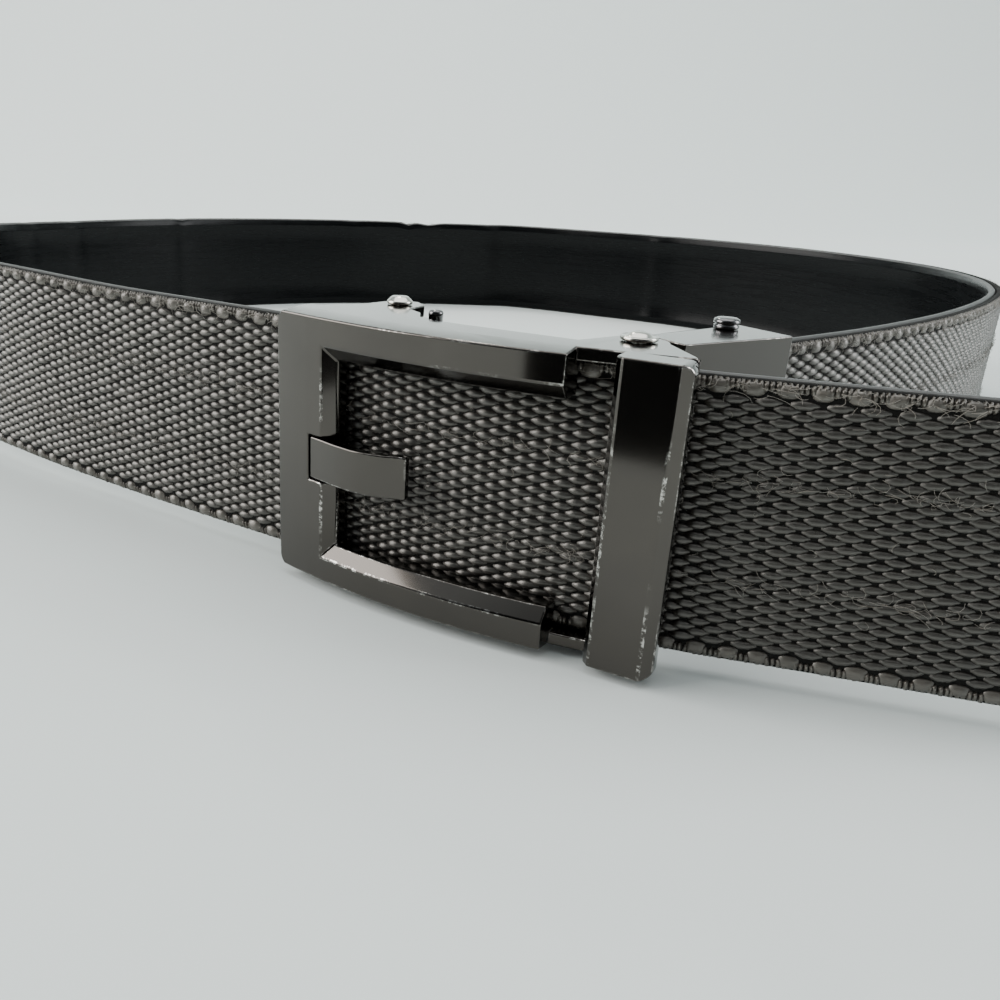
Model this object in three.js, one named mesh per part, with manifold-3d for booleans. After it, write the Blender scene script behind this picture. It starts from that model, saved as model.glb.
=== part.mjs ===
// Webbing ratchet belt, fastened and standing on its edge.
// A woven strap with a glossy lining runs once round the waist. One end is held in a clamp box that
// swivels behind the buckle. The other end passes through the buckle, behind its open face, and is
// held by a sprung pawl that meets a toothed track on the strap's inner side.
//
// Millimetres, +Z up. +X runs along the buckle's face to the tail, +Y goes into the loop.
// The pieces are laid out from the middle of the buckle and set down on the floor at the end.

import * as THREE from 'three';
import { mergeVertices } from 'three/addons/utils/BufferGeometryUtils.js';
import Module from 'manifold-3d';

// Strap
const STRAP_WIDTH = 35;
const WEBBING_THICKNESS = 1.7;
const LINING_THICKNESS = 1.3;
const LAYER_GAP = 0.3;
const WEBBING_EDGE = 0.4;
const LINING_EDGE = 0.35;
const LOOP_WIDTH = 285;
const LOOP_DEPTH = 288;
const TAIL_LENGTH = 48;
const TAIL_ANGLE = 14;
const STRAP_STEP = 6;

// Ratchet track on the strap's inner side
const TRACK_WIDTH = 9;
const TRACK_BASE = 0.5;
const TRACK_TOOTH = 0.6;
const TRACK_PITCH = 4;
const TRACK_RAMP = 0.9;
const TRACK_LENGTH = 150;

// Buckle face
const BUCKLE_LENGTH = 57.8;
const FACE_BOW = 3.6;
const LEFT_BAR_WIDTH = 8.8;
const ARM_HEIGHT = 4.1;
const ARM_GAP = 5.4;
const BEVEL_RISE = 1.9;
const BEVEL_DEPTH = 1.6;
const CORNER_RADIUS = 2.2;
const TOP_SLOPE = 0.45;
const RIDGE_SETBACK = 3;
const SIDE_WALL = 1.7;
const WALL_REAR = 4.9;
const LEFT_WALL_REAR = 5.3;

// Where the strap passes behind the face: how far back at each end, and how much it bows forwards
const STRAP_BACK_LEFT = 3.2;
const STRAP_BACK_RIGHT = 3.9;
const STRAP_BOW = 1.95;
const STRAP_CLEARANCE = 0.2;
const STRAP_RECESS = 0.5;

// Right-hand bar
const BAR_WIDTH = 8.8;
const BAR_FRONT = 2.3;
const BAR_DEPTH = 4.2;
const BAR_LEFT_CHAMFER = 0.9;
const BAR_RIGHT_CHAMFER = 1.4;
const BAR_LIP = 0.5;
const BAR_LIP_START = 0.6;
const BAR_CORNER_RADIUS = 1.4;

// Prong in its notch
const PRONG_HEIGHT = 6;
const PRONG_THICKNESS = 1.4;
const PRONG_LENGTH = 15.9;
const PRONG_DROP = 0.7;
const NOTCH_MARGIN = 6.3;
const NOTCH_DEPTH = 1;

// Pins and rivets
const LEFT_RIVET_X = -17.6;
const LEFT_RIVET_Y = 13.8;
const LEFT_RIVET_RADIUS = 1.1;
const LEFT_HEAD_RADIUS = 1.85;
const RIGHT_RIVET_X = 19.2;
const RIGHT_RIVET_Y = 9.2;
const RIGHT_RIVET_RADIUS = 1.4;
const RIGHT_HEAD_RADIUS = 2.3;
const RIVET_HEAD_HEIGHT = 1.1;
const LEVER_PIN_X = -8.35;
const LEVER_PIN_Y = 8;
const LEVER_PIN_RADIUS = 1;
const LEVER_PIN_RISE = 0.9;
const EAR_MARGIN = 1.5;
const RIGHT_EAR_START = 10;
const RIGHT_EAR_END = 160;
const RIGHT_EAR_FOOT = 1.6;
const LEFT_EAR_INNER_FOOT = 3.4;
const LEFT_EAR_OUTER_FOOT = 2.4;

// Release lever
const LEVER_SHEET = 1.1;
const LEVER_CHEEK_MARGIN = 1.3;
const LEVER_BACK = 3.4;
const LEVER_TAB_WIDTH = 22;
const LEVER_TAB_REACH = 13.5;
const LEVER_TAB_ROOT = 1.5;
const PAWL_WIDTH = 10;
const PAWL_LEAD = 0.3;
const PAWL_TIP_DEPTH = 0.35;

// Clamp box for the strap's other end
const CLAMP_ANGLE = 60;
const CLAMP_LENGTH = 25.4;
const CLAMP_DEPTH = 9.4;
const CLAMP_TAPER = 2.4;
const CLAMP_SHEET = 1.1;
const CLAMP_LUG = 6;
const CLAMP_PIVOT_INSET = 1.8;
const CLAMP_PIN_FROM_END = 4.5;
const CLAMP_PIN_INSET = 1.9;
const CLAMP_PIN_RADIUS = 1.1;
const CLAMP_HEAD_RADIUS = 1.8;
const CLAMP_HEAD_HEIGHT = 1.5;
const JAW_SHEET = 1;
const JAW_TOOTH = 0.6;
const JAW_REACH = 12;
const JAW_TEETH = [0.25, 0.45, 0.65];

// Clearances, and how far a cutting body runs past what it cuts
const REST_GAP = 0.3;
const HEAD_GAP = 0.1;
const PIN_CLEARANCE = 0.2;
const CUT_PAST = 1;

// Finishes
const WEBBING_COLOUR = 0x7f7a73;
const LINING_COLOUR = 0x15171a;
const TRACK_COLOUR = 0x202224;
const GUNMETAL_COLOUR = 0x5a5852;
const NICKEL_COLOUR = 0xb4b1a8;
const DARK_CHROME_COLOUR = 0x3c3b3a;

// How finely curves are stepped
const ROUND_SIDES = 24;
const CORNER_STEPS = 4;
const EAR_STEPS = 8;
const BOW_STEPS = 14;
const BAR_BOW_STEPS = 3;
const STRAIGHT_STEPS = 4;
const BUCKLE_ROUTE_STEPS = 8;
const ROUTE_SAMPLES = 2000;
const SEARCH_STEPS = 40;

// Values worked out from the sizes above
const HALF_LENGTH = BUCKLE_LENGTH / 2;
const STRAP_THICKNESS = WEBBING_THICKNESS + LAYER_GAP + LINING_THICKNESS;
const HALF_HEIGHT = STRAP_WIDTH / 2 + STRAP_CLEARANCE + SIDE_WALL;
const WALL_INSIDE = HALF_HEIGHT - SIDE_WALL;
const BAR_LEFT = HALF_LENGTH - BAR_WIDTH;
const ARM_END = BAR_LEFT - ARM_GAP;
const WINDOW_LEFT = LEFT_BAR_WIDTH - HALF_LENGTH;
const CHEEK_TOP = WALL_INSIDE - REST_GAP;
const FRONT_LIFT = HALF_HEIGHT + HEAD_GAP + RIVET_HEAD_HEIGHT - STRAP_WIDTH / 2;

const wasm = await Module();
wasm.setup();

// Shapes

// The face's front line, seen from above
function bow(x) {
  return -FACE_BOW * (1 - (x / HALF_LENGTH) ** 2);
}

// The strap's outer face where it passes behind the buckle's face
function strapLine(x) {
  const share = (x + HALF_LENGTH) / BUCKLE_LENGTH;
  const straight = STRAP_BACK_LEFT + (STRAP_BACK_RIGHT - STRAP_BACK_LEFT) * share;
  return straight - STRAP_BOW * (1 - (x / HALF_LENGTH) ** 2);
}

// The rear of the buckle's arms and left bar, just in front of the strap
function castingRear(x) {
  return strapLine(x) - STRAP_RECESS;
}

// Where the sloping top of an arm meets the flat side wall
function ridgeLine(x) {
  return Math.min(bow(x) + RIDGE_SETBACK, castingRear(x) - REST_GAP);
}

function steps(from, to, count) {
  return Array.from({ length: count + 1 }, (_, i) => from + ((to - from) * i) / count);
}

function point(x, y) {
  return new THREE.Vector2(x, y);
}

function facingOut(geometry) {
  const position = geometry.attributes.position;
  const index = geometry.index;
  const a = new THREE.Vector3();
  const b = new THREE.Vector3();
  const c = new THREE.Vector3();
  let volume = 0;
  for (let i = 0; i < index.count; i += 3) {
    a.fromBufferAttribute(position, index.getX(i));
    b.fromBufferAttribute(position, index.getX(i + 1));
    c.fromBufferAttribute(position, index.getX(i + 2));
    volume += a.dot(b.cross(c));
  }
  if (volume < 0) {
    for (let i = 0; i < index.count; i += 3) {
      const first = index.getX(i);
      index.setX(i, index.getX(i + 1));
      index.setX(i + 1, first);
    }
  }
  return geometry;
}

function shared(geometry) {
  const bare = geometry.clone();
  bare.deleteAttribute('normal');
  bare.deleteAttribute('uv');
  return mergeVertices(bare, 1e-4);
}

// A closed body through rings of points, each ring one section. Each four-sided face is split from
// its lower near corner to its upper far corner, so two layers side by side stay clear in a twist.
function loft(rings) {
  const corners = rings[0].length;
  const places = rings.flat().flatMap((p) => [p.x, p.y, p.z]);
  const faces = [];
  for (let r = 0; r + 1 < rings.length; r += 1) {
    for (let k = 0; k < corners; k += 1) {
      const next = (k + 1) % corners;
      const a = r * corners + k;
      const b = r * corners + next;
      if (rings[r][k].z < rings[r][next].z) {
        faces.push(a, b, b + corners, a, b + corners, a + corners);
      } else {
        faces.push(a, b, a + corners, b, b + corners, a + corners);
      }
    }
  }
  const last = (rings.length - 1) * corners;
  for (let k = 1; k + 1 < corners; k += 1) {
    faces.push(0, k + 1, k);
    faces.push(last, last + k, last + k + 1);
  }
  const geometry = new THREE.BufferGeometry();
  geometry.setAttribute('position', new THREE.Float32BufferAttribute(places, 3));
  geometry.setIndex(faces);
  return facingOut(geometry);
}

// A plan outline raised from one height to another
function prism(outline, low, high) {
  const shape = new THREE.Shape(outline);
  const geometry = new THREE.ExtrudeGeometry(shape, { depth: high - low, bevelEnabled: false });
  geometry.translate(0, 0, low);
  return shared(geometry);
}

// An outline drawn as seen from the front, given a depth from one y to another
function frontPrism(shape, near, far) {
  const geometry = new THREE.ExtrudeGeometry(shape, {
    depth: far - near,
    bevelEnabled: false,
    curveSegments: CORNER_STEPS,
  });
  geometry.rotateX(Math.PI / 2);
  geometry.translate(0, far, 0);
  return shared(geometry);
}

function block(x0, x1, y0, y1, z0, z1) {
  return prism([point(x0, y0), point(x1, y0), point(x1, y1), point(x0, y1)], z0, z1);
}

function disc(x, y, radius, low, high) {
  const geometry = new THREE.CylinderGeometry(radius, radius, high - low, ROUND_SIDES);
  geometry.rotateX(Math.PI / 2);
  geometry.translate(x, y, (low + high) / 2);
  return shared(geometry);
}

function turned(x, y, profile) {
  const geometry = new THREE.LatheGeometry(profile.map(([r, z]) => point(r, z)), ROUND_SIDES);
  geometry.rotateX(Math.PI / 2);
  geometry.translate(x, y, 0);
  return facingOut(shared(geometry));
}

function mirroredHeight(geometry) {
  const other = geometry.clone();
  other.scale(1, 1, -1);
  return facingOut(other);
}

// Joins and cuts

function solid(geometry) {
  return new wasm.Manifold(
    new wasm.Mesh({
      numProp: 3,
      vertProperties: new Float32Array(geometry.attributes.position.array),
      triVerts: new Uint32Array(geometry.index.array),
    }),
  );
}

function geometryOf(body) {
  const mesh = body.getMesh();
  const geometry = new THREE.BufferGeometry();
  geometry.setAttribute('position', new THREE.BufferAttribute(mesh.vertProperties, 3));
  geometry.setIndex(new THREE.BufferAttribute(mesh.triVerts, 1));
  return geometry;
}

function joined(...geometries) {
  return geometries.map(solid).reduce((whole, next) => whole.add(next));
}

function finish(colour, roughness, metalness) {
  return new THREE.MeshStandardMaterial({ color: colour, roughness, metalness });
}

function piece(name, geometry, material) {
  const flat = geometry.toNonIndexed();
  flat.computeVertexNormals();
  const mesh = new THREE.Mesh(flat, material);
  mesh.name = name;
  return mesh;
}

// The strap's route, as the line of its outer face seen from above.
// across and deep are shares of the loop's width and depth, lift is a share of the height at which
// the buckle holds the strap, and lean is how far the top edge tips outwards, as a share of the width.
const LOOP = [
  { across: 0.123, deep: 0.131, lift: 1, lean: 0 },
  { across: 0.147, deep: 0.193, lift: 0.95, lean: 0 },
  { across: 0.179, deep: 0.309, lift: 0.8, lean: 0 },
  { across: 0.203, deep: 0.465, lift: 0.5, lean: 0 },
  { across: 0.209, deep: 0.597, lift: 0.25, lean: 0 },
  { across: 0.193, deep: 0.715, lift: 0.08, lean: 0 },
  { across: 0.154, deep: 0.813, lift: 0, lean: 0 },
  { across: 0.084, deep: 0.892, lift: 0, lean: 0 },
  { across: -0.028, deep: 0.958, lift: 0, lean: 0.02 },
  { across: -0.165, deep: 0.992, lift: 0, lean: 0.03 },
  { across: -0.298, deep: 0.995, lift: 0, lean: 0.02 },
  { across: -0.393, deep: 0.993, lift: 0, lean: 0 },
  { across: -0.449, deep: 0.983, lift: 0, lean: -0.03 },
  { across: -0.481, deep: 0.962, lift: 0, lean: -0.08 },
  { across: -0.547, deep: 0.917, lift: 0, lean: -0.14 },
  { across: -0.642, deep: 0.833, lift: 0, lean: -0.02 },
  { across: -0.712, deep: 0.743, lift: 0, lean: 0 },
  { across: -0.761, deep: 0.649, lift: 0, lean: 0 },
  { across: -0.789, deep: 0.549, lift: 0, lean: 0 },
  { across: -0.791, deep: 0.441, lift: 0.05, lean: 0 },
  { across: -0.772, deep: 0.33, lift: 0.25, lean: 0 },
  { across: -0.716, deep: 0.236, lift: 0.55, lean: 0 },
  { across: -0.632, deep: 0.154, lift: 0.9, lean: 0 },
  { across: -0.519, deep: 0.0815, lift: 1.15, lean: 0 },
  { across: -0.42, deep: 0.0424, lift: 1.2, lean: 0 },
  { across: -0.33, deep: 0.0257, lift: 1.2, lean: 0 },
  { across: -0.245, deep: 0.0201, lift: 1, lean: 0 },
  { across: -0.175, deep: 0.0153, lift: 1, lean: 0 },
];

// The clamp box lies along a line turned back from the face. A place in it is given by how far it is
// along that line from the swivel rivet, and how far out from the rivet towards the front.
const CLAMP_ALONG = point(
  Math.cos(THREE.MathUtils.degToRad(CLAMP_ANGLE)),
  Math.sin(THREE.MathUtils.degToRad(CLAMP_ANGLE)),
);
const CLAMP_OUT = point(CLAMP_ALONG.y, -CLAMP_ALONG.x);

function clampPlace(along, out) {
  return point(RIGHT_RIVET_X, RIGHT_RIVET_Y)
    .addScaledVector(CLAMP_ALONG, along)
    .addScaledVector(CLAMP_OUT, out);
}

function clampPrism(outline, low, high) {
  return prism(outline.map(([along, out]) => clampPlace(along, out)), low, high);
}

const CLAMP_FRONT = CLAMP_PIVOT_INSET;
const CLAMP_REAR = CLAMP_PIVOT_INSET - CLAMP_DEPTH;
const CLAMP_STRAP_OUT = CLAMP_FRONT - CLAMP_SHEET - REST_GAP;
const CLAMP_BOX_START = CLAMP_LUG;
const CLAMP_PIN_ALONG = CLAMP_LENGTH - CLAMP_PIN_FROM_END;
const CLAMP_PIN_OUT = CLAMP_REAR + CLAMP_PIN_INSET;
const CLAMP_HALF_HEIGHT = STRAP_WIDTH / 2 + REST_GAP + CLAMP_SHEET;

function routePoints() {
  const route = [];
  const add = (place, lift, lean) => route.push({ place, lift, lean });
  const boxStart = CLAMP_BOX_START + CLAMP_SHEET + REST_GAP;
  for (const along of steps(boxStart, CLAMP_LENGTH, STRAIGHT_STEPS)) {
    add(clampPlace(along, CLAMP_STRAP_OUT), 1, 0);
  }
  for (const row of LOOP) {
    add(point(row.across * LOOP_WIDTH, row.deep * LOOP_DEPTH), row.lift, row.lean);
  }
  for (const x of steps(-HALF_LENGTH, HALF_LENGTH, BUCKLE_ROUTE_STEPS)) {
    add(point(x, strapLine(x)), 1, 0);
  }
  const turn = THREE.MathUtils.degToRad(TAIL_ANGLE);
  const along = point(Math.cos(turn), Math.sin(turn));
  const tailStart = point(HALF_LENGTH, strapLine(HALF_LENGTH));
  for (const reach of steps(0, TAIL_LENGTH, STRAIGHT_STEPS).slice(1)) {
    add(tailStart.clone().addScaledVector(along, reach), 1, 0);
  }
  return route;
}

const ROUTE_POINTS = routePoints();
const ROUTE = new THREE.CatmullRomCurve3(
  ROUTE_POINTS.map(({ place }) => new THREE.Vector3(place.x, place.y, 0)),
  false,
  'centripetal',
);
ROUTE.arcLengthDivisions = ROUTE_SAMPLES;
const HELD = new THREE.CatmullRomCurve3(
  ROUTE_POINTS.map(({ lift, lean }, i) => new THREE.Vector3(lift, lean, i)),
  false,
  'centripetal',
);
const ROUTE_LENGTH = ROUTE.getLength();

// The route at a share of its length: its place, outward direction, lift and lean
function station(share) {
  const t = ROUTE.getUtoTmapping(share);
  const { x, y } = ROUTE.getPoint(t);
  const tangent = ROUTE.getTangent(t);
  const held = HELD.getPoint(t);
  return {
    place: point(x, y),
    out: point(tangent.y, -tangent.x).normalize(),
    lift: Math.max(held.x, 0),
    lean: held.y,
  };
}

const STATIONS = steps(0, 1, Math.round(ROUTE_LENGTH / STRAP_STEP)).map(station);

// A layer of the strap between two depths under the outer face
function layer(outer, inner, edge) {
  const half = STRAP_WIDTH / 2;
  const section = [
    [outer, half - edge],
    [outer, edge - half],
    [outer + edge, -half],
    [inner - edge, -half],
    [inner, edge - half],
    [inner, half - edge],
    [inner - edge, half],
    [outer + edge, half],
  ];
  const rings = STATIONS.map(({ place, out, lift, lean }) =>
    section.map(([depth, height]) => {
      const tip = lean * (height + half) - depth;
      const z = height + (lift - 1) * FRONT_LIFT;
      return new THREE.Vector3(place.x + out.x * tip, place.y + out.y * tip, z);
    }),
  );
  return loft(rings);
}

function webbing() {
  return layer(0, WEBBING_THICKNESS, WEBBING_EDGE);
}

function lining() {
  return layer(WEBBING_THICKNESS + LAYER_GAP, STRAP_THICKNESS, LINING_EDGE);
}

// Teeth are spaced from the pawl's tip, so one gap between teeth always faces it
function ratchetTrack() {
  const depth = STRAP_THICKNESS + LAYER_GAP;
  const at = (share, under) => {
    const { place, out } = station(share);
    return place.clone().addScaledVector(out, -under);
  };
  const tooth = TRACK_PITCH / ROUTE_LENGTH;
  const teeth = Math.floor(TRACK_LENGTH / TRACK_PITCH);
  const first = Math.floor((1 - pawlShare()) / tooth) * tooth + pawlShare() - teeth * tooth;
  const outside = [];
  const inside = [];
  for (let k = 0; k < teeth; k += 1) {
    const root = first + k * tooth;
    outside.push(at(root, depth));
    inside.push(at(root, depth + TRACK_BASE));
    inside.push(at(root + tooth * TRACK_RAMP, depth + TRACK_BASE + TRACK_TOOTH));
  }
  outside.push(at(first + teeth * tooth, depth));
  inside.push(at(first + teeth * tooth, depth + TRACK_BASE));
  return prism([...outside, ...inside.reverse()], -TRACK_WIDTH / 2, TRACK_WIDTH / 2);
}

// The share of the route that lies behind the pawl's tip
function pawlShare() {
  let low = 0.5;
  let high = 1;
  for (let i = 0; i < SEARCH_STEPS; i += 1) {
    const middle = (low + high) / 2;
    if (station(middle).place.x < LEVER_PIN_X) {
      low = middle;
    } else {
      high = middle;
    }
  }
  return low;
}

// Buckle

function frontOutline() {
  const right = BAR_CORNER_RADIUS;
  const left = CORNER_RADIUS;
  const shape = new THREE.Shape();
  shape.moveTo(-HALF_LENGTH + left, -HALF_HEIGHT);
  shape.lineTo(HALF_LENGTH - right, -HALF_HEIGHT);
  shape.absarc(HALF_LENGTH - right, -HALF_HEIGHT + right, right, -Math.PI / 2, 0, false);
  shape.lineTo(HALF_LENGTH, HALF_HEIGHT - right);
  shape.absarc(HALF_LENGTH - right, HALF_HEIGHT - right, right, 0, Math.PI / 2, false);
  shape.lineTo(-HALF_LENGTH + left, HALF_HEIGHT);
  shape.absarc(-HALF_LENGTH + left, HALF_HEIGHT - left, left, Math.PI / 2, Math.PI, false);
  shape.lineTo(-HALF_LENGTH, -HALF_HEIGHT + left);
  shape.absarc(-HALF_LENGTH + left, -HALF_HEIGHT + left, left, Math.PI, Math.PI * 1.5, false);
  return shape;
}

function arm() {
  const inner = HALF_HEIGHT - ARM_HEIGHT - BEVEL_RISE;
  return loft(
    steps(-HALF_LENGTH, ARM_END, BOW_STEPS).map((x) => [
      new THREE.Vector3(x, bow(x), HALF_HEIGHT - TOP_SLOPE),
      new THREE.Vector3(x, bow(x), HALF_HEIGHT - ARM_HEIGHT),
      new THREE.Vector3(x, bow(x) + BEVEL_DEPTH, inner),
      new THREE.Vector3(x, castingRear(x), inner),
      new THREE.Vector3(x, castingRear(x), HALF_HEIGHT),
      new THREE.Vector3(x, ridgeLine(x), HALF_HEIGHT),
    ]),
  );
}

function leftBar() {
  const front = steps(-HALF_LENGTH, WINDOW_LEFT, BAR_BOW_STEPS);
  const inner = WINDOW_LEFT + BEVEL_RISE;
  const back = steps(inner, -HALF_LENGTH, BAR_BOW_STEPS);
  const high = HALF_HEIGHT - TOP_SLOPE;
  return prism(
    [
      ...front.map((x) => point(x, bow(x))),
      point(inner, bow(WINDOW_LEFT) + BEVEL_DEPTH),
      ...back.map((x) => point(x, castingRear(x))),
    ],
    -high,
    high,
  );
}

function rightBar() {
  const right = HALF_LENGTH;
  const rear = BAR_DEPTH - BAR_FRONT;
  return prism(
    [
      point(BAR_LEFT, BAR_LEFT_CHAMFER - BAR_FRONT),
      point(BAR_LEFT + BAR_LEFT_CHAMFER, -BAR_FRONT),
      point(right - BAR_RIGHT_CHAMFER, -BAR_FRONT),
      point(right, BAR_RIGHT_CHAMFER - BAR_FRONT),
      point(right, BAR_LIP_START),
      point(right - BAR_LIP, BAR_LIP_START),
      point(right - BAR_LIP, rear),
      point(BAR_LEFT, rear),
    ],
    -HALF_HEIGHT,
    HALF_HEIGHT,
  );
}

// The left ear's outline round its rivet, as shares of the ear's reach
const LEFT_EAR = [
  { across: 2.4, back: -2.3 },
  { across: 1.85, back: -1.35 },
  { across: 0.95, back: -0.75 },
  { across: 0.95, back: 0.5 },
  { across: 0.3, back: 1.15 },
  { across: -0.4, back: 1.15 },
  { across: -0.85, back: 0.7 },
  { across: -1.05, back: -0.1 },
  { across: -1.25, back: -1.1 },
];

function sideWall() {
  const leftReach = LEFT_HEAD_RADIUS + EAR_MARGIN;
  const rightReach = RIGHT_HEAD_RADIUS + EAR_MARGIN;
  const wallEnd = HALF_LENGTH - BAR_LIP;
  const rightEar = steps(RIGHT_EAR_START, RIGHT_EAR_END, EAR_STEPS).map((degrees) => {
    const turn = THREE.MathUtils.degToRad(degrees);
    const across = rightReach * Math.cos(turn);
    return point(RIGHT_RIVET_X + across, RIGHT_RIVET_Y + rightReach * Math.sin(turn));
  });
  const leftEar = LEFT_EAR.map(({ across, back }) =>
    point(LEFT_RIVET_X + across * leftReach, LEFT_RIVET_Y + back * leftReach),
  );
  return prism(
    [
      ...steps(-HALF_LENGTH, wallEnd, BOW_STEPS).map((x) => point(x, ridgeLine(x))),
      ...rightEar,
      point(RIGHT_RIVET_X - rightReach * RIGHT_EAR_FOOT, WALL_REAR),
      point(LEFT_RIVET_X + leftReach * LEFT_EAR_INNER_FOOT, WALL_REAR),
      ...leftEar,
      point(LEFT_RIVET_X - leftReach * LEFT_EAR_OUTER_FOOT, LEFT_WALL_REAR),
      point(-HALF_LENGTH, LEFT_WALL_REAR),
    ],
    WALL_INSIDE,
    HALF_HEIGHT,
  );
}

function rivetHole(x, y, radius) {
  const end = HALF_HEIGHT + CUT_PAST;
  return solid(disc(x, y, radius + PIN_CLEARANCE, -end, end));
}

function buckleFrame() {
  const top = joined(arm(), sideWall());
  const bottom = joined(mirroredHeight(arm()), mirroredHeight(sideWall()));
  const outline = frontPrism(frontOutline(), -BUCKLE_LENGTH, BUCKLE_LENGTH);
  const notchLeft = -HALF_LENGTH + NOTCH_MARGIN;
  const notch = block(
    notchLeft,
    WINDOW_LEFT + BEVEL_RISE + CUT_PAST,
    -FACE_BOW - CUT_PAST,
    bow(notchLeft) + NOTCH_DEPTH,
    -PRONG_DROP - PRONG_HEIGHT / 2 - REST_GAP,
    -PRONG_DROP + PRONG_HEIGHT / 2 + REST_GAP,
  );
  const body = joined(leftBar(), rightBar())
    .add(top)
    .add(bottom)
    .intersect(solid(outline))
    .subtract(solid(notch))
    .subtract(rivetHole(LEFT_RIVET_X, LEFT_RIVET_Y, LEFT_RIVET_RADIUS))
    .subtract(rivetHole(RIGHT_RIVET_X, RIGHT_RIVET_Y, RIGHT_RIVET_RADIUS));
  return geometryOf(body);
}

// The prong's front, as shares of its length and its thickness in front of the face
const PRONG_FRONT = [
  { along: 0, proud: -0.35 },
  { along: 0.12, proud: 0 },
  { along: 0.3, proud: 0.3 },
  { along: 0.5, proud: 0.4 },
  { along: 0.68, proud: 0.2 },
  { along: 0.82, proud: -0.3 },
  { along: 0.9, proud: -0.8 },
  { along: 1, proud: -1.2 },
];

function prong() {
  const left = -HALF_LENGTH + NOTCH_MARGIN + REST_GAP;
  const notchFloor = bow(-HALF_LENGTH + NOTCH_MARGIN) + NOTCH_DEPTH;
  const front = PRONG_FRONT.map(({ along, proud }) => {
    const x = left + along * PRONG_LENGTH;
    return point(x, Math.min(bow(x), bow(WINDOW_LEFT)) - proud * PRONG_THICKNESS);
  });
  const back = front.map(({ x, y }) =>
    point(x, Math.min(y + PRONG_THICKNESS, notchFloor - REST_GAP)),
  );
  const low = -PRONG_DROP - PRONG_HEIGHT / 2;
  return prism([...front, ...back.reverse()], low, low + PRONG_HEIGHT);
}

// Pins

// The rounded ends of pins and rivets, as shares of their radius and of their height
const DOME = [
  { out: 1, up: 0 },
  { out: 1, up: 0.35 },
  { out: 0.8, up: 0.75 },
  { out: 0.45, up: 0.95 },
  { out: 0, up: 1 },
];
const ROUND_END = [
  { out: 1, up: 0 },
  { out: 0.8, up: 0.67 },
  { out: 0.4, up: 0.95 },
  { out: 0, up: 1 },
];
const GROOVED_DOME = [
  { out: 0.95, up: 0 },
  { out: 0.95, up: 0.3 },
  { out: 0.85, up: 0.38 },
  { out: 1, up: 0.5 },
  { out: 0.95, up: 0.72 },
  { out: 0.6, up: 0.94 },
  { out: 0, up: 1 },
];

function ending(table, radius, foot, height) {
  return table.map(({ out, up }) => [radius * out, foot + height * up]);
}

// The same ending above and below
function bothWays(x, y, upper) {
  const lower = upper.map(([r, z]) => [r, -z]).reverse();
  return turned(x, y, [...lower, ...upper]);
}

function rivet(x, y, radius, head) {
  const foot = head[0][1];
  return bothWays(x, y, [[radius, foot], ...head]);
}

function leverPin() {
  const upper = ending(ROUND_END, LEVER_PIN_RADIUS, HALF_HEIGHT, LEVER_PIN_RISE);
  return bothWays(LEVER_PIN_X, LEVER_PIN_Y, upper);
}

function clampPin() {
  const foot = CLAMP_HALF_HEIGHT + HEAD_GAP;
  const head = ending(GROOVED_DOME, CLAMP_HEAD_RADIUS, foot, CLAMP_HEAD_HEIGHT);
  const place = clampPlace(CLAMP_PIN_ALONG, CLAMP_PIN_OUT);
  return rivet(place.x, place.y, CLAMP_PIN_RADIUS, head);
}

// The pawl's outline round its pin, as shares of the cheek's reach round the pin
const PAWL_TAIL_SIDE = [
  { across: 0.8, back: -0.2 },
  { across: 0.6, back: 0.7 },
];
const PAWL_RIVET_SIDE = [
  { across: -1, back: 0.3 },
  { across: -0.7, back: -0.45 },
];

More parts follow.
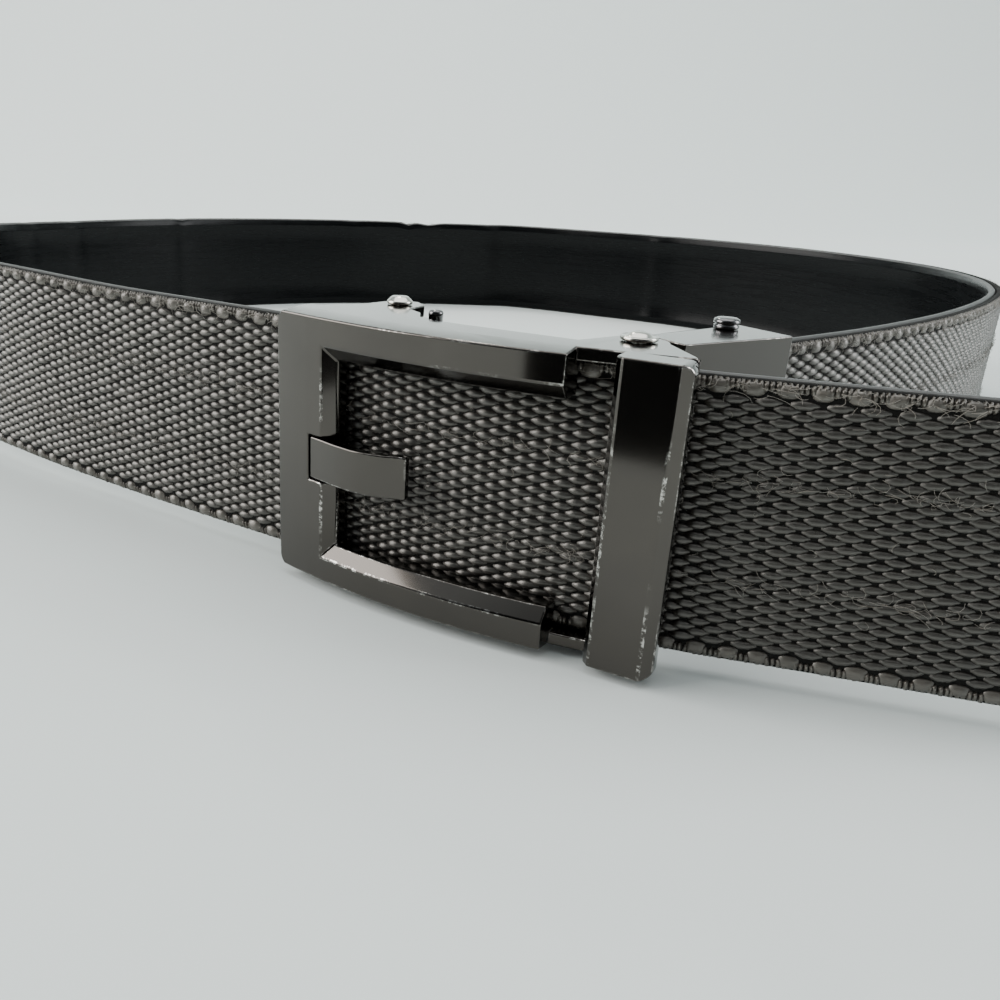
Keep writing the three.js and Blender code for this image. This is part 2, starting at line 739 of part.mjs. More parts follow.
// Release lever: two cheeks on the left rivet, joined by a back plate, with a finger tab and a pawl
function releaseLever() {
  const pivot = point(LEFT_RIVET_X, LEFT_RIVET_Y);
  const pin = point(LEVER_PIN_X, LEVER_PIN_Y);
  const reach = LEFT_RIVET_RADIUS + PIN_CLEARANCE + LEVER_CHEEK_MARGIN;
  const pinReach = LEVER_PIN_RADIUS + LEVER_CHEEK_MARGIN;
  const back = pivot.y + LEVER_BACK;
  const cheekLow = CHEEK_TOP - LEVER_SHEET;
  const across = pin.clone().sub(pivot).normalize();
  const side = point(-across.y, across.x);
  const cheekOutline = [
    pivot.clone().addScaledVector(side, -reach),
    pin.clone().addScaledVector(side, -pinReach),
    pin.clone().addScaledVector(across, pinReach),
    pin.clone().addScaledVector(side, pinReach),
    point(pivot.x + reach, back),
    point(pivot.x - reach, back),
    point(pivot.x - reach, pivot.y),
  ];
  const cheek = prism(cheekOutline, cheekLow, CHEEK_TOP);
  const sheetFront = back - LEVER_SHEET;
  const backPlate = block(
    pivot.x - reach,
    pivot.x + reach,
    sheetFront,
    back,
    -CHEEK_TOP,
    CHEEK_TOP,
  );
  const tabEnd = pivot.x - LEVER_TAB_REACH;
  const tab = prism(
    [
      point(tabEnd, back + LEVER_SHEET),
      point(tabEnd, back),
      point(pivot.x - reach * LEVER_TAB_ROOT, sheetFront),
      point(pivot.x, sheetFront),
      point(pivot.x, back),
      point(pivot.x - reach * LEVER_TAB_ROOT, back),
    ],
    -LEVER_TAB_WIDTH / 2,
    LEVER_TAB_WIDTH / 2,
  );
  const besidePin = (rows) =>
    rows.map((row) => point(pin.x + pinReach * row.across, pin.y + pinReach * row.back));
  const pawl = prism(
    [
      point(pin.x + TRACK_PITCH * PAWL_LEAD, pawlTipY()),
      ...besidePin(PAWL_TAIL_SIDE),
      point(pivot.x + reach, back),
      point(pivot.x, back),
      point(pivot.x + reach, sheetFront - LEVER_SHEET),
      ...besidePin(PAWL_RIVET_SIDE),
    ],
    -PAWL_WIDTH / 2,
    PAWL_WIDTH / 2,
  );
  const body = joined(cheek, mirroredHeight(cheek), backPlate, tab, pawl)
    .subtract(rivetHole(pivot.x, pivot.y, LEFT_RIVET_RADIUS))
    .subtract(rivetHole(pin.x, pin.y, LEVER_PIN_RADIUS));
  return geometryOf(body);
}

// The pawl's tip lies low in the tooth gap that faces it, just clear of the next tooth's slope
function pawlTipY() {
  const { place } = station(pawlShare());
  const trackFoot = place.y + STRAP_THICKNESS + LAYER_GAP + TRACK_BASE;
  return trackFoot + TRACK_TOOTH * PAWL_TIP_DEPTH + REST_GAP;
}

// Clamp

function clampBox() {
  const high = CLAMP_HALF_HEIGHT;
  const lugLow = CHEEK_TOP - CLAMP_SHEET;
  const end = CLAMP_LENGTH;
  const front = clampPrism(
    [
      [CLAMP_BOX_START, CLAMP_FRONT],
      [end, CLAMP_FRONT],
      [end, CLAMP_FRONT - CLAMP_SHEET],
      [CLAMP_BOX_START, CLAMP_FRONT - CLAMP_SHEET],
    ],
    -high,
    high,
  );
  const cover = clampPrism(
    [
      [CLAMP_BOX_START, CLAMP_FRONT],
      [end, CLAMP_FRONT],
      [end, CLAMP_REAR],
      [CLAMP_BOX_START, CLAMP_REAR + CLAMP_TAPER],
    ],
    high - CLAMP_SHEET,
    high,
  );
  const lugReach = RIGHT_RIVET_RADIUS + PIN_CLEARANCE + CLAMP_SHEET;
  const lug = joined(
    disc(RIGHT_RIVET_X, RIGHT_RIVET_Y, lugReach, lugLow, CHEEK_TOP),
    clampPrism(
      [
        [0, CLAMP_FRONT],
        [CLAMP_BOX_START + CLAMP_SHEET, CLAMP_FRONT],
        [CLAMP_BOX_START + CLAMP_SHEET, -lugReach],
        [0, -lugReach],
      ],
      lugLow,
      CHEEK_TOP,
    ),
    clampPrism(
      [
        [CLAMP_BOX_START, CLAMP_FRONT],
        [CLAMP_BOX_START + CLAMP_SHEET, CLAMP_FRONT],
        [CLAMP_BOX_START + CLAMP_SHEET, -lugReach],
        [CLAMP_BOX_START, -lugReach],
      ],
      lugLow,
      high,
    ),
  );
  const half = geometryOf(solid(cover).add(lug));
  const pinPlace = clampPlace(CLAMP_PIN_ALONG, CLAMP_PIN_OUT);
  const body = joined(front, half, mirroredHeight(half))
    .subtract(rivetHole(RIGHT_RIVET_X, RIGHT_RIVET_Y, RIGHT_RIVET_RADIUS))
    .subtract(rivetHole(pinPlace.x, pinPlace.y, CLAMP_PIN_RADIUS));
  return geometryOf(body);
}

function clampJaw() {
  const high = CLAMP_HALF_HEIGHT - CLAMP_SHEET - REST_GAP;
  const place = clampPlace(CLAMP_PIN_ALONG, CLAMP_PIN_OUT);
  const barrel = CLAMP_PIN_RADIUS + PIN_CLEARANCE + JAW_SHEET;
  const toothTip = CLAMP_STRAP_OUT - STRAP_THICKNESS - REST_GAP;
  const face = toothTip - JAW_TOOTH;
  const back = face - JAW_SHEET;
  const end = CLAMP_PIN_ALONG - JAW_REACH;
  const plate = clampPrism(
    [
      [CLAMP_PIN_ALONG, face],
      [CLAMP_PIN_ALONG, back],
      [end, back],
      [end, face],
    ],
    -high,
    high,
  );
  const lip = clampPrism(
    [
      [end, face],
      [end + JAW_SHEET, face],
      [end + JAW_SHEET, back - JAW_SHEET],
      [end, back - JAW_SHEET * 1.5],
    ],
    -high,
    high,
  );
  const teeth = JAW_TEETH.map((share) => {
    const root = end + JAW_REACH * share;
    return clampPrism(
      [
        [root, face - JAW_TOOTH / 2],
        [root, face],
        [root + JAW_TOOTH, toothTip],
        [root + JAW_TOOTH * 2, face],
        [root + JAW_TOOTH * 2, face - JAW_TOOTH / 2],
      ],
      -high,
      high,
    );
  });
  const body = joined(disc(place.x, place.y, barrel, -high, high), plate, lip, ...teeth).subtract(
    rivetHole(place.x, place.y, CLAMP_PIN_RADIUS),
  );
  return geometryOf(body);
}

const HEAD_FOOT = HALF_HEIGHT + HEAD_GAP;
const LEFT_HEAD = ending(DOME, LEFT_HEAD_RADIUS, HEAD_FOOT, RIVET_HEAD_HEIGHT);
const RIGHT_HEAD = ending(DOME, RIGHT_HEAD_RADIUS, HEAD_FOOT, RIVET_HEAD_HEIGHT);

const gunmetal = finish(GUNMETAL_COLOUR, 0.28, 1);
const nickel = finish(NICKEL_COLOUR, 0.25, 1);
const darkChrome = finish(DARK_CHROME_COLOUR, 0.2, 1);

const group = new THREE.Group();
group.add(
  piece('webbing', webbing(), finish(WEBBING_COLOUR, 0.75, 0)),
  piece('lining', lining(), finish(LINING_COLOUR, 0.35, 0)),
  piece('ratchet_track', ratchetTrack(), finish(TRACK_COLOUR, 0.5, 0)),
  piece('buckle_frame', buckleFrame(), gunmetal),
  piece('prong', prong(), gunmetal),
  piece(
    'left_rivet',
    rivet(LEFT_RIVET_X, LEFT_RIVET_Y, LEFT_RIVET_RADIUS, LEFT_HEAD),
    nickel,
  ),
  piece(
    'right_rivet',
    rivet(RIGHT_RIVET_X, RIGHT_RIVET_Y, RIGHT_RIVET_RADIUS, RIGHT_HEAD),
    nickel,
  ),
  piece('release_lever', releaseLever(), gunmetal),
  piece('lever_pin', leverPin(), darkChrome),
  piece('clamp_box', clampBox(), gunmetal),
  piece('clamp_jaw', clampJaw(), gunmetal),
  piece('clamp_pin', clampPin(), darkChrome),
);

// Set down with the middle of its box over the origin and its lowest edge on the floor
const box = new THREE.Box3().setFromObject(group);
const middle = box.getCenter(new THREE.Vector3());
group.position.set(-middle.x, -middle.y, -box.min.z);

export default group;
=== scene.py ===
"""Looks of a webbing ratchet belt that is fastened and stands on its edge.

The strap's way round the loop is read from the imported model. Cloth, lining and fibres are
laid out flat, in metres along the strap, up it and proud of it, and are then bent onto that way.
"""

import math

import bmesh
import bpy
import numpy as np
from mathutils import Matrix, Vector


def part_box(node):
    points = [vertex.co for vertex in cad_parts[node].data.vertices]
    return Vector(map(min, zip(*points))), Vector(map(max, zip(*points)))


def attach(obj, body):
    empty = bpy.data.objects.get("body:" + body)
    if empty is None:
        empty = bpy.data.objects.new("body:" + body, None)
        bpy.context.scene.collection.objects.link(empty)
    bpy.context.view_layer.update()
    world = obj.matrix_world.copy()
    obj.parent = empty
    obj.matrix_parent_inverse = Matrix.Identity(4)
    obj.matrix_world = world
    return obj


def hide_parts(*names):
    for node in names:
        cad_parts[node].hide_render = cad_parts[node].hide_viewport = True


bl_info = {
    "name": "Webbing Ratchet Belt",
    "version": (1, 0, 0),
    "blender": (4, 5, 0),
    "location": "3D View > Sidebar > Belt",
    "description": "Builds the cloth, lining, casting and fittings of a ratchet belt",
    "category": "Add Mesh",
}

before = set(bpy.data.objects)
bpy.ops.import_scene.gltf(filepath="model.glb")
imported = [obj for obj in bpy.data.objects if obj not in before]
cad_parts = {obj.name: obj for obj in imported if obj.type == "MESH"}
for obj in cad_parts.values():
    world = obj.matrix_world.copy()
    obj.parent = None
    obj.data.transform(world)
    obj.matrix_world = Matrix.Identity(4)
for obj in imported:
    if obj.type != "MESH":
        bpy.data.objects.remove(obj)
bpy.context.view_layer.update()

MM = 0.001
MERGE_DISTANCE = 0.001 * MM
ROOT = "root"
SEED = 7

# Below the first angle faces are one flat face, and above the second their edge is a sharp one
FLAT_ANGLE = math.radians(0.4)
SHARP_ANGLE = math.radians(20)
SQUARE_ANGLE = math.radians(60)
CORNER_REACH = 0.3 * MM
# Places closer than this are welded, and the heights where the arms' fronts end
WELD_REACH = 0.02 * MM
ARM_LEVELS = (5.3 * MM, 35.9 * MM)
# The bent sheet is painted darker than the casting: painted shade, on a darker copy of the same
# gunmetal
SHEET_PAINTED_SHADE = 0.7
# Edges shorter than this share of the rounding are dissolved before it
SLIVER_SHARE = 0.4


# Reading the frame


def merged_copy(node):
    """A bmesh of a CAD node with its loose triangles joined up."""
    bm = bmesh.new()
    bm.from_mesh(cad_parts[node].data)
    bmesh.ops.remove_doubles(bm, verts=bm.verts, dist=MERGE_DISTANCE)
    return bm


def between(table, index, share):
    """Smooth values through the rows of a table, share of the way after each index."""
    last = len(table) - 1
    before = table[np.clip(index - 1, 0, last)]
    here = table[index]
    there = table[np.clip(index + 1, 0, last)]
    after = table[np.clip(index + 2, 0, last)]
    f = share[:, None]
    slope_here = (there - before) / 2
    slope_there = (after - here) / 2
    return (
        here * (2 * f**3 - 3 * f**2 + 1)
        + there * (3 * f**2 - 2 * f**3)
        + slope_here * (f**3 - 2 * f**2 + f)
        + slope_there * (f**3 - f**2)
    )


class Strap:
    """One layer of the strap: its outer face's lower and upper edge lines, from the free end."""

    RUNG_LIMIT = 2 * MM
    LEVEL = 0.9

    def __init__(self, node):
        bm = merged_copy(node)
        low = self.chain(bm, -1)
        high = self.chain(bm, 1)
        way = np.gradient(low, axis=0)
        way /= np.linalg.norm(way, axis=1)[:, None]
        self.out = np.stack([-way[:, 1], way[:, 0], np.zeros(len(way))], axis=1)
        start = Vector(low[0])
        near = [v.co for v in bm.verts if (v.co - start).xy.length < self.RUNG_LIMIT]
        depths = (np.array(near) - low[0]) @ self.out[0]
        self.thickness = float(np.ptp(depths))
        bm.free()
        self.low = low + self.out * self.thickness / 2
        self.high = high + self.out * self.thickness / 2
        steps = np.linalg.norm(np.diff(self.low[:, :2], axis=0), axis=1)
        self.along = np.concatenate([[0.0], np.cumsum(steps)])
        self.length = float(self.along[-1])
        self.width = float(self.high[0][2] - self.low[0][2])

    def chain(self, bm, side):
        """Middles of the short edges of the layer's lower (-1) or upper (1) rim, from the free end."""
        faces = [f for f in bm.faces if f.normal.z * side > self.LEVEL]
        edges = {e for f in faces for e in f.edges if e.calc_length() < self.RUNG_LIMIT}
        left = [(e.verts[0].co + e.verts[1].co) / 2 for e in edges]
        here = max(left, key=lambda p: p.x)
        ordered = [here]
        left.remove(here)
        while left:
            here = min(left, key=lambda p: (p - here).length)
            ordered.append(here)
            left.remove(here)
        return np.array(ordered)

    def bend(self, flat):
        """Flat places (along, up, proud) on the strap's way, in the row frame."""
        stations = np.interp(flat[:, 0], self.along, np.arange(len(self.along)))
        index = np.minimum(stations.astype(int), len(self.along) - 2)
        share = stations - index
        low = between(self.low, index, share)
        high = between(self.high, index, share)
        out = between(self.out, index, share)
        out /= np.linalg.norm(out, axis=1)[:, None]
        up = (flat[:, 1] / self.width)[:, None]
        return low + (high - low) * up + out * flat[:, 2][:, None]


# Making meshes


def coordinates(mesh):
    values = np.empty(len(mesh.vertices) * 3)
    mesh.vertices.foreach_get("co", values)
    return values.reshape(-1, 3)


def set_coordinates(mesh, places):
    mesh.vertices.foreach_set("co", places.ravel())
    mesh.update()


def add_piece(name, mesh, material, body):
    piece = bpy.data.objects.new(name, mesh)
    bpy.context.scene.collection.objects.link(piece)
    mesh.materials.clear()
    mesh.materials.append(material)
    mesh.shade_smooth()
    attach(piece, body)
    return piece


def mesh_from(bm, name):
    bmesh.ops.recalc_face_normals(bm, faces=bm.faces)
    mesh = bpy.data.meshes.new(name)
    bm.to_mesh(mesh)
    bm.free()
    return mesh


def arrayed(bm, name, repeats):
    """The mesh of a small shape repeated by a stack of arrays, each a count and an offset."""
    source = bpy.data.objects.new(name, mesh_from(bm, name))
    bpy.context.scene.collection.objects.link(source)
    for count, offset in repeats:
        array = source.modifiers.new("array", "ARRAY")
        array.count = count
        array.use_relative_offset = False
        array.use_constant_offset = True
        array.constant_offset_displace = offset
    bpy.context.view_layer.update()
    seen = source.evaluated_get(bpy.context.evaluated_depsgraph_get())
    mesh = bpy.data.meshes.new_from_object(seen)
    mesh.name = name
    bpy.data.objects.remove(source)
    return mesh


def swept(section, length, cuts):
    """A flat bar with that section, a ring of (up, proud) places, from the free end onwards."""
    bm = bmesh.new()
    ring = [bm.verts.new((0, up, proud)) for up, proud in section]
    for here, there in zip(ring, ring[1:] + ring[:1]):
        bm.edges.new((here, there))
    grown = bmesh.ops.extrude_edge_only(bm, edges=bm.edges)
    far = [g for g in grown["geom"] if isinstance(g, bmesh.types.BMVert)]
    bmesh.ops.translate(bm, verts=far, vec=(length, 0, 0))
    long_edges = [e for e in bm.edges if abs(e.verts[0].co.x - e.verts[1].co.x) > length / 2]
    bmesh.ops.subdivide_edges(bm, edges=long_edges, cuts=cuts, use_grid_fill=True)
    bmesh.ops.holes_fill(bm, edges=bm.edges, sides=0)
    layer = bm.loops.layers.uv.new("strap")
    for face in bm.faces:
        for loop in face.loops:
            loop[layer].uv = (loop.vert.co.x / MM, loop.vert.co.y / MM)
    return bm


def turned(profile, x, y, steps):
    """A round body about an upright axis, from (radius, height) pairs that end on the axis."""
    bm = bmesh.new()
    verts = [bm.verts.new((radius, 0, height)) for radius, height in profile]
    edges = [bm.edges.new(pair) for pair in zip(verts, verts[1:])]
    bmesh.ops.spin(
        bm,
        geom=verts + edges,
        cent=(0, 0, 0),
        axis=(0, 0, 1),
        angle=math.tau,
        steps=steps,
        use_merge=True,
    )
    bmesh.ops.remove_doubles(bm, verts=bm.verts, dist=MERGE_DISTANCE)
    bmesh.ops.translate(bm, verts=bm.verts, vec=(x, y, 0))
    return bm


def round_left_corners(bm, radius):
    """Rounds the casting's square corners at its left end, seen from the front."""
    left = min(v.co.x for v in bm.verts)
    front = min(v.co.y for v in bm.verts if v.co.x < left + CORNER_REACH)
    corners = []
    for e in bm.edges:
        along = e.verts[1].co - e.verts[0].co
        near = max(v.co.x for v in e.verts) < left + CORNER_REACH
        near = near and min(v.co.y for v in e.verts) < front + CORNER_REACH
        if near and abs(along.y) > 0.8 * along.length and e.calc_face_angle(0) > SQUARE_ANGLE:
            corners.append(e)
    bmesh.ops.bevel(
        bm,
        geom=corners,
        offset=radius,
        offset_type="OFFSET",
        affect="EDGES",
        segments=5,
        profile=0.5,
        material=-1,
        clamp_overlap=False,
    )


def rounded_copy(node, name, radius, segments, material, body, corner=0.0, levels=()):
    """A copy of a CAD node with its edges rounded, which stands for it.

    levels are heights where hair-thin faces end; the copy is cut there, so that they weld shut.
    """
    bm = merged_copy(node)
    bmesh.ops.dissolve_limit(bm, angle_limit=FLAT_ANGLE, verts=bm.verts, edges=bm.edges)
    for level in levels:
        geom = bm.verts[:] + bm.edges[:] + bm.faces[:]
        bmesh.ops.bisect_plane(
            bm, geom=geom, dist=WELD_REACH, plane_co=(0, 0, level), plane_no=(0, 0, 1)
        )
    bmesh.ops.remove_doubles(bm, verts=bm.verts, dist=WELD_REACH)
    bmesh.ops.dissolve_degenerate(bm, dist=radius * SLIVER_SHARE, edges=bm.edges)
    if corner > 0:
        round_left_corners(bm, corner)
    edge = bm.faces.layers.float.new("edge")
    sharp = [e for e in bm.edges if len(e.link_faces) == 2 and e.calc_face_angle() > SHARP_ANGLE]
    made = bmesh.ops.bevel(
        bm,
        geom=sharp,
        offset=radius,
        offset_type="OFFSET",
        affect="EDGES",
        segments=segments,
        profile=0.5,
        material=-1,
        clamp_overlap=False,
    )
    for face in made["faces"]:
        face[edge] = 1.0
    mesh = mesh_from(bm, name)
    piece = add_piece(name, mesh, material, body)
    normals = piece.modifiers.new("normals", "WEIGHTED_NORMAL")
    normals.keep_sharp = True
    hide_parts(node)
    return piece


# Materials


class Nodes:
    """A material's node tree, with short calls that add and join nodes."""

    def __init__(self, name):
        self.material = bpy.data.materials.new(name)
        self.material.use_nodes = True
        self.tree = self.material.node_tree
        self.shader = self.tree.nodes["Principled BSDF"]

    def add(self, kind, **settings):
        node = self.tree.nodes.new(kind)
        for key, value in settings.items():
            if key in node.inputs:
                node.inputs[key].default_value = value
            else:
                setattr(node, key, value)
        return node

    def link(self, source, target):
        self.tree.links.new(source, target)

    def set(self, **values):
        for key, value in values.items():
            self.shader.inputs[key.replace("_", " ")].default_value = value

    def noise(self, vector, scale, detail=3.0, roughness=0.55):
        node = self.add("ShaderNodeTexNoise", Scale=scale, Detail=detail, Roughness=roughness)
        self.link(vector, node.inputs["Vector"])
        return node.outputs["Fac"]

    def stretched(self, vector, scale):
        node = self.add("ShaderNodeMapping", Scale=scale)
        self.link(vector, node.inputs["Vector"])
        return node.outputs["Vector"]

    def object_place(self):
        return self.add("ShaderNodeTexCoord").outputs["Object"]

    def uv(self, name):
        return self.add("ShaderNodeUVMap", uv_map=name).outputs["UV"]

    def attribute(self, name):
        return self.add("ShaderNodeAttribute", attribute_name=name).outputs["Fac"]

    def math(self, operation, a, b):
        node = self.add("ShaderNodeMath", operation=operation)
        for value, socket in zip((a, b), node.inputs):
            if isinstance(value, (int, float)):
                socket.default_value = value
            else:
                self.link(value, socket)
        return node.outputs["Value"]

    def ramp(self, value, stops):
        """stops: (position, colour or grey) pairs."""
        node = self.add("ShaderNodeValToRGB")
        elements = node.color_ramp.elements
        while len(elements) < len(stops):
            elements.new(0.5)
        for element, (position, colour) in zip(elements, stops):
            element.position = position
            grey = isinstance(colour, (int, float))
            element.color = (colour, colour, colour, 1) if grey else (*colour, 1)
        self.link(value, node.inputs["Fac"])
        return node.outputs["Color"]

    def mix(self, share, a, b):
        node = self.add("ShaderNodeMix", data_type="RGBA")
        for value, socket in ((share, node.inputs[0]), (a, node.inputs[6]), (b, node.inputs[7])):
            if isinstance(value, bpy.types.NodeSocket):
                self.link(value, socket)
            elif isinstance(value, (int, float)):
                socket.default_value = value
            else:
                socket.default_value = (*value, 1)
        return node.outputs[2]

    def bump(self, height, distance, strength=1.0, under=None):
        node = self.add("ShaderNodeBump", Strength=strength, Distance=distance)
        self.link(height, node.inputs["Height"])
        if under is not None:
            self.link(under, node.inputs["Normal"])
        return node.outputs["Normal"]

    def surface(self, colour=None, roughness=None, normal=None):
        if colour is not None:
            self.link(colour, self.shader.inputs["Base Color"])
        if roughness is not None:
            self.link(roughness, self.shader.inputs["Roughness"])
        if normal is not None:
            self.link(normal, self.shader.inputs["Normal"])
        return self.material


def shade(colour, factor):
    return tuple(c * factor for c in colour)


def thread_material(name, colour, contrast):
    """Twisted glossy thread: fine fibres along each float, and a shade of its own for each."""
    n = Nodes(name)
    own = n.attribute("own_shade")
    place = n.add("ShaderNodeVectorMath", operation="ADD")
    n.link(n.uv("thread"), place.inputs[0])
    spread = n.add("ShaderNodeVectorMath", operation="SCALE", Scale=90.0)
    own_place = n.add("ShaderNodeAttribute", attribute_name="own_shade")
    n.link(own_place.outputs["Vector"], spread.inputs[0])
    n.link(spread.outputs["Vector"], place.inputs[1])
    fibres = n.noise(n.stretched(place.outputs["Vector"], (0.3, 2.6, 1.0)), 2.6, 4.0, 0.65)
    patches = n.noise(n.object_place(), 60.0, 3.0)
    lightness = n.math("ADD", n.math("MULTIPLY", own, contrast), n.math("MULTIPLY", patches, 0.5))
    stops = [(0.15, shade(colour, 0.62)), (0.5, colour), (0.9, shade(colour, 1.4))]
    base = n.ramp(lightness, stops)
    streaks = n.ramp(fibres, [(0.35, 0.45), (0.65, 1.0)])
    tinted = n.add("ShaderNodeMix", data_type="RGBA", blend_type="MULTIPLY")
    tinted.inputs[0].default_value = 1.0
    n.link(base, tinted.inputs[6])
    n.link(streaks, tinted.inputs[7])
    rough = n.ramp(fibres, [(0.3, 0.4), (0.7, 0.26)])
    n.set(IOR=1.65, Specular_IOR_Level=0.85, Specular_Tint=(1.0, 0.95, 0.89, 1.0))
    n.set(Anisotropic=0.85, Anisotropic_Rotation=0.25)
    tangent = n.add("ShaderNodeTangent", direction_type="UV_MAP", uv_map="thread")
    n.link(tangent.outputs["Tangent"], n.shader.inputs["Tangent"])
    return n.surface(tinted.outputs[2], rough, n.bump(fibres, 0.05 * MM, 0.8))


def ground_material(name, colour):
    """The cloth under the floats, seen only in the valleys between them; its colour is darker than the
    thread's, a painted shade in those valleys.
    """
    n = Nodes(name)
    place = n.uv("strap")
    weft = n.noise(n.stretched(place, (4.0, 0.8, 1.0)), 1.6, 3.0)
    n.set(Roughness=0.85, Specular_IOR_Level=0.2)
    base = n.ramp(weft, [(0.3, shade(colour, 0.5)), (0.7, colour)])
    return n.surface(base, None, n.bump(weft, 0.08 * MM, 0.8))


def lining_material(name, colour):
    """Coated lining: near black, glossy, with a fine grain, wipe marks and soft creases."""
    n = Nodes(name)
    place = n.uv("strap")
    grain = n.noise(place, 3.2, 5.0, 0.6)
    waves = n.noise(n.stretched(place, (0.055, 0.015, 1.0)), 1.0, 2.0)
    wipes = n.noise(n.stretched(place, (0.05, 0.6, 1.0)), 1.0, 4.0, 0.7)
    base = n.ramp(wipes, [(0.35, colour), (0.8, shade(colour, 1.5))])
    rough = n.ramp(wipes, [(0.3, 0.24), (0.75, 0.32)])
    soft = n.bump(waves, 0.9 * MM, 0.3)
    n.set(Specular_IOR_Level=0.14)
    return n.surface(base, rough, n.bump(grain, 0.02 * MM, 0.35, soft))


def painted_edge_material(name, colour):
    """Edge paint with faint drips across the edge."""
    n = Nodes(name)
    place = n.uv("strap")
    drips = n.noise(n.stretched(place, (0.25, 2.5, 1.0)), 1.0, 4.0)
    base = n.ramp(drips, [(0.3, shade(colour, 0.6)), (0.7, colour)])
    n.set(Roughness=0.42, Specular_IOR_Level=0.5)
    return n.surface(base, None, n.bump(drips, 0.06 * MM, 0.6))


def plated_material(name, colour, roughness, worn, wear=1.0):
    """Polished plating: faint clouds, hairline scratches, and bare metal where edges are worn."""
    n = Nodes(name)
    place = n.object_place()
    clouds = n.noise(place, 90.0, 4.0)
    hairs = n.noise(n.stretched(place, (140.0, 140.0, 1900.0)), 1.0, 3.0, 0.7)
    crossing = n.noise(n.stretched(place, (1500.0, 160.0, 160.0)), 1.0, 3.0, 0.7)
    upright_marks = n.ramp(hairs, [(0.66, 0.0), (0.74, 1.0)])
    level_marks = n.ramp(crossing, [(0.7, 0.0), (0.78, 1.0)])
    marks = n.math("MAXIMUM", upright_marks, level_marks)
    chips = n.ramp(n.noise(place, 1300.0, 4.0, 0.7), [(0.48, 0.0), (0.6, 1.0)])
    zones = n.ramp(n.noise(place, 75.0, 2.0), [(0.46, 0.0), (0.6, 1.0)])
    rubbed = n.math("MULTIPLY", n.attribute("edge"), chips)
    bare = n.math("MULTIPLY", rubbed, n.math("MULTIPLY", zones, wear))
    base = n.ramp(clouds, [(0.3, shade(colour, 0.9)), (0.7, shade(colour, 1.08))])
    tone = n.mix(bare, base, worn)
    rough = n.ramp(clouds, [(0.25, roughness * 0.85), (0.75, roughness * 1.2)])
    scuffed = n.math("ADD", rough, n.math("MULTIPLY", marks, 0.04))
    n.set(Metallic=1.0, Coat_Weight=0.8, Coat_Roughness=0.1)
    return n.surface(tone, scuffed, n.bump(clouds, 0.01 * MM, 0.15))


def plastic_material(name, colour):
    """Moulded plastic with a fine grain."""
    n = Nodes(name)
    grain = n.noise(n.object_place(), 2200.0, 3.0)
    rough = n.ramp(grain, [(0.3, 0.38), (0.7, 0.52)])
    base = n.ramp(grain, [(0.3, shade(colour, 0.85)), (0.7, shade(colour, 1.1))])
    return n.surface(base, rough, n.bump(grain, 0.02 * MM, 0.4))


def fibre_material(name, colour):
    """Loose fibres, which take the light a little along their length."""
    n = Nodes(name)
    along = n.noise(n.object_place(), 900.0, 2.0)
    base = n.ramp(along, [(0.3, shade(colour, 0.75)), (0.7, colour)])
    n.set(Roughness=0.45, Sheen_Weight=0.3)
    return n.surface(base)


# Sizes and colours that a user would change


class BeltStrapSettings(bpy.types.PropertyGroup):
    float_pitch: bpy.props.FloatProperty(
        name="Float pitch",
        description="From one float of a row to the next",
        default=3.68 * MM,
        unit="LENGTH",
    )
    row_spacing: bpy.props.FloatProperty(
        name="Row spacing",
        description="From one row of floats up to the next, which is shifted by half a pitch",
        default=0.735 * MM,
        unit="LENGTH",
    )
    float_height: bpy.props.FloatProperty(
        name="Float height",
        description="How far a float rises out of the valleys",
        default=0.55 * MM,
        unit="LENGTH",
    )
    selvedge: bpy.props.FloatProperty(
        name="Selvedge",
        description="Width of the band along each edge that has no floats",
        default=1.45 * MM,
        unit="LENGTH",
    )
    thread_colour: bpy.props.FloatVectorProperty(
        name="Thread",
        description="Colour of the floats",
        default=(0.022, 0.0195, 0.0163),
        subtype="COLOR",
    )
    # Darker than the thread: painted shade in the valleys between the floats
    ground_shaded_colour: bpy.props.FloatVectorProperty(
        name="Ground",
        description="Colour of the cloth between the floats",
        default=(0.008, 0.0075, 0.0065),
        subtype="COLOR",
    )
    lining_colour: bpy.props.FloatVectorProperty(
        name="Lining",
        description="Colour of the coated lining",
        default=(0.003, 0.0034, 0.0037),
        subtype="COLOR",
    )
    edge_colour: bpy.props.FloatVectorProperty(
        name="Edge paint",
        description="Colour of the lining's painted edges",
        default=(0.06, 0.06, 0.058),
        subtype="COLOR",
    )


class BeltMetalSettings(bpy.types.PropertyGroup):
    edge_radius: bpy.props.FloatProperty(
        name="Edge radius",
        description="Rounding of the casting's edges",
        default=0.26 * MM,
        unit="LENGTH",
    )
    corner_radius: bpy.props.FloatProperty(
        name="Corner radius",
        description="Rounding of the casting's left corners, seen from the front",
        default=1.1 * MM,
        unit="LENGTH",
    )
    prong_radius: bpy.props.FloatProperty(
        name="Prong edge radius",
        description="Rounding of the prong's edges",
        default=0.26 * MM,
        unit="LENGTH",
    )
    sheet_radius: bpy.props.FloatProperty(
        name="Sheet edge radius",
        description="Rounding of the edges of bent sheet",
        default=0.16 * MM,
        unit="LENGTH",
    )
    gunmetal_colour: bpy.props.FloatVectorProperty(
        name="Gunmetal",
        description="Plating of the casting, lever and clamp",
        default=(0.047, 0.0395, 0.033),
        subtype="COLOR",
    )
    worn_colour: bpy.props.FloatVectorProperty(
        name="Worn edge",
        description="Bare metal where the plating is worn",
        default=(0.52, 0.5, 0.47),
        subtype="COLOR",
    )
    nickel_colour: bpy.props.FloatVectorProperty(
        name="Nickel",
        description="Rivet heads",
        default=(0.58, 0.56, 0.51),
        subtype="COLOR",
    )
    pin_colour: bpy.props.FloatVectorProperty(
        name="Pins",
        description="Dark chrome of the pins",
        default=(0.1, 0.098, 0.1),
        subtype="COLOR",
    )


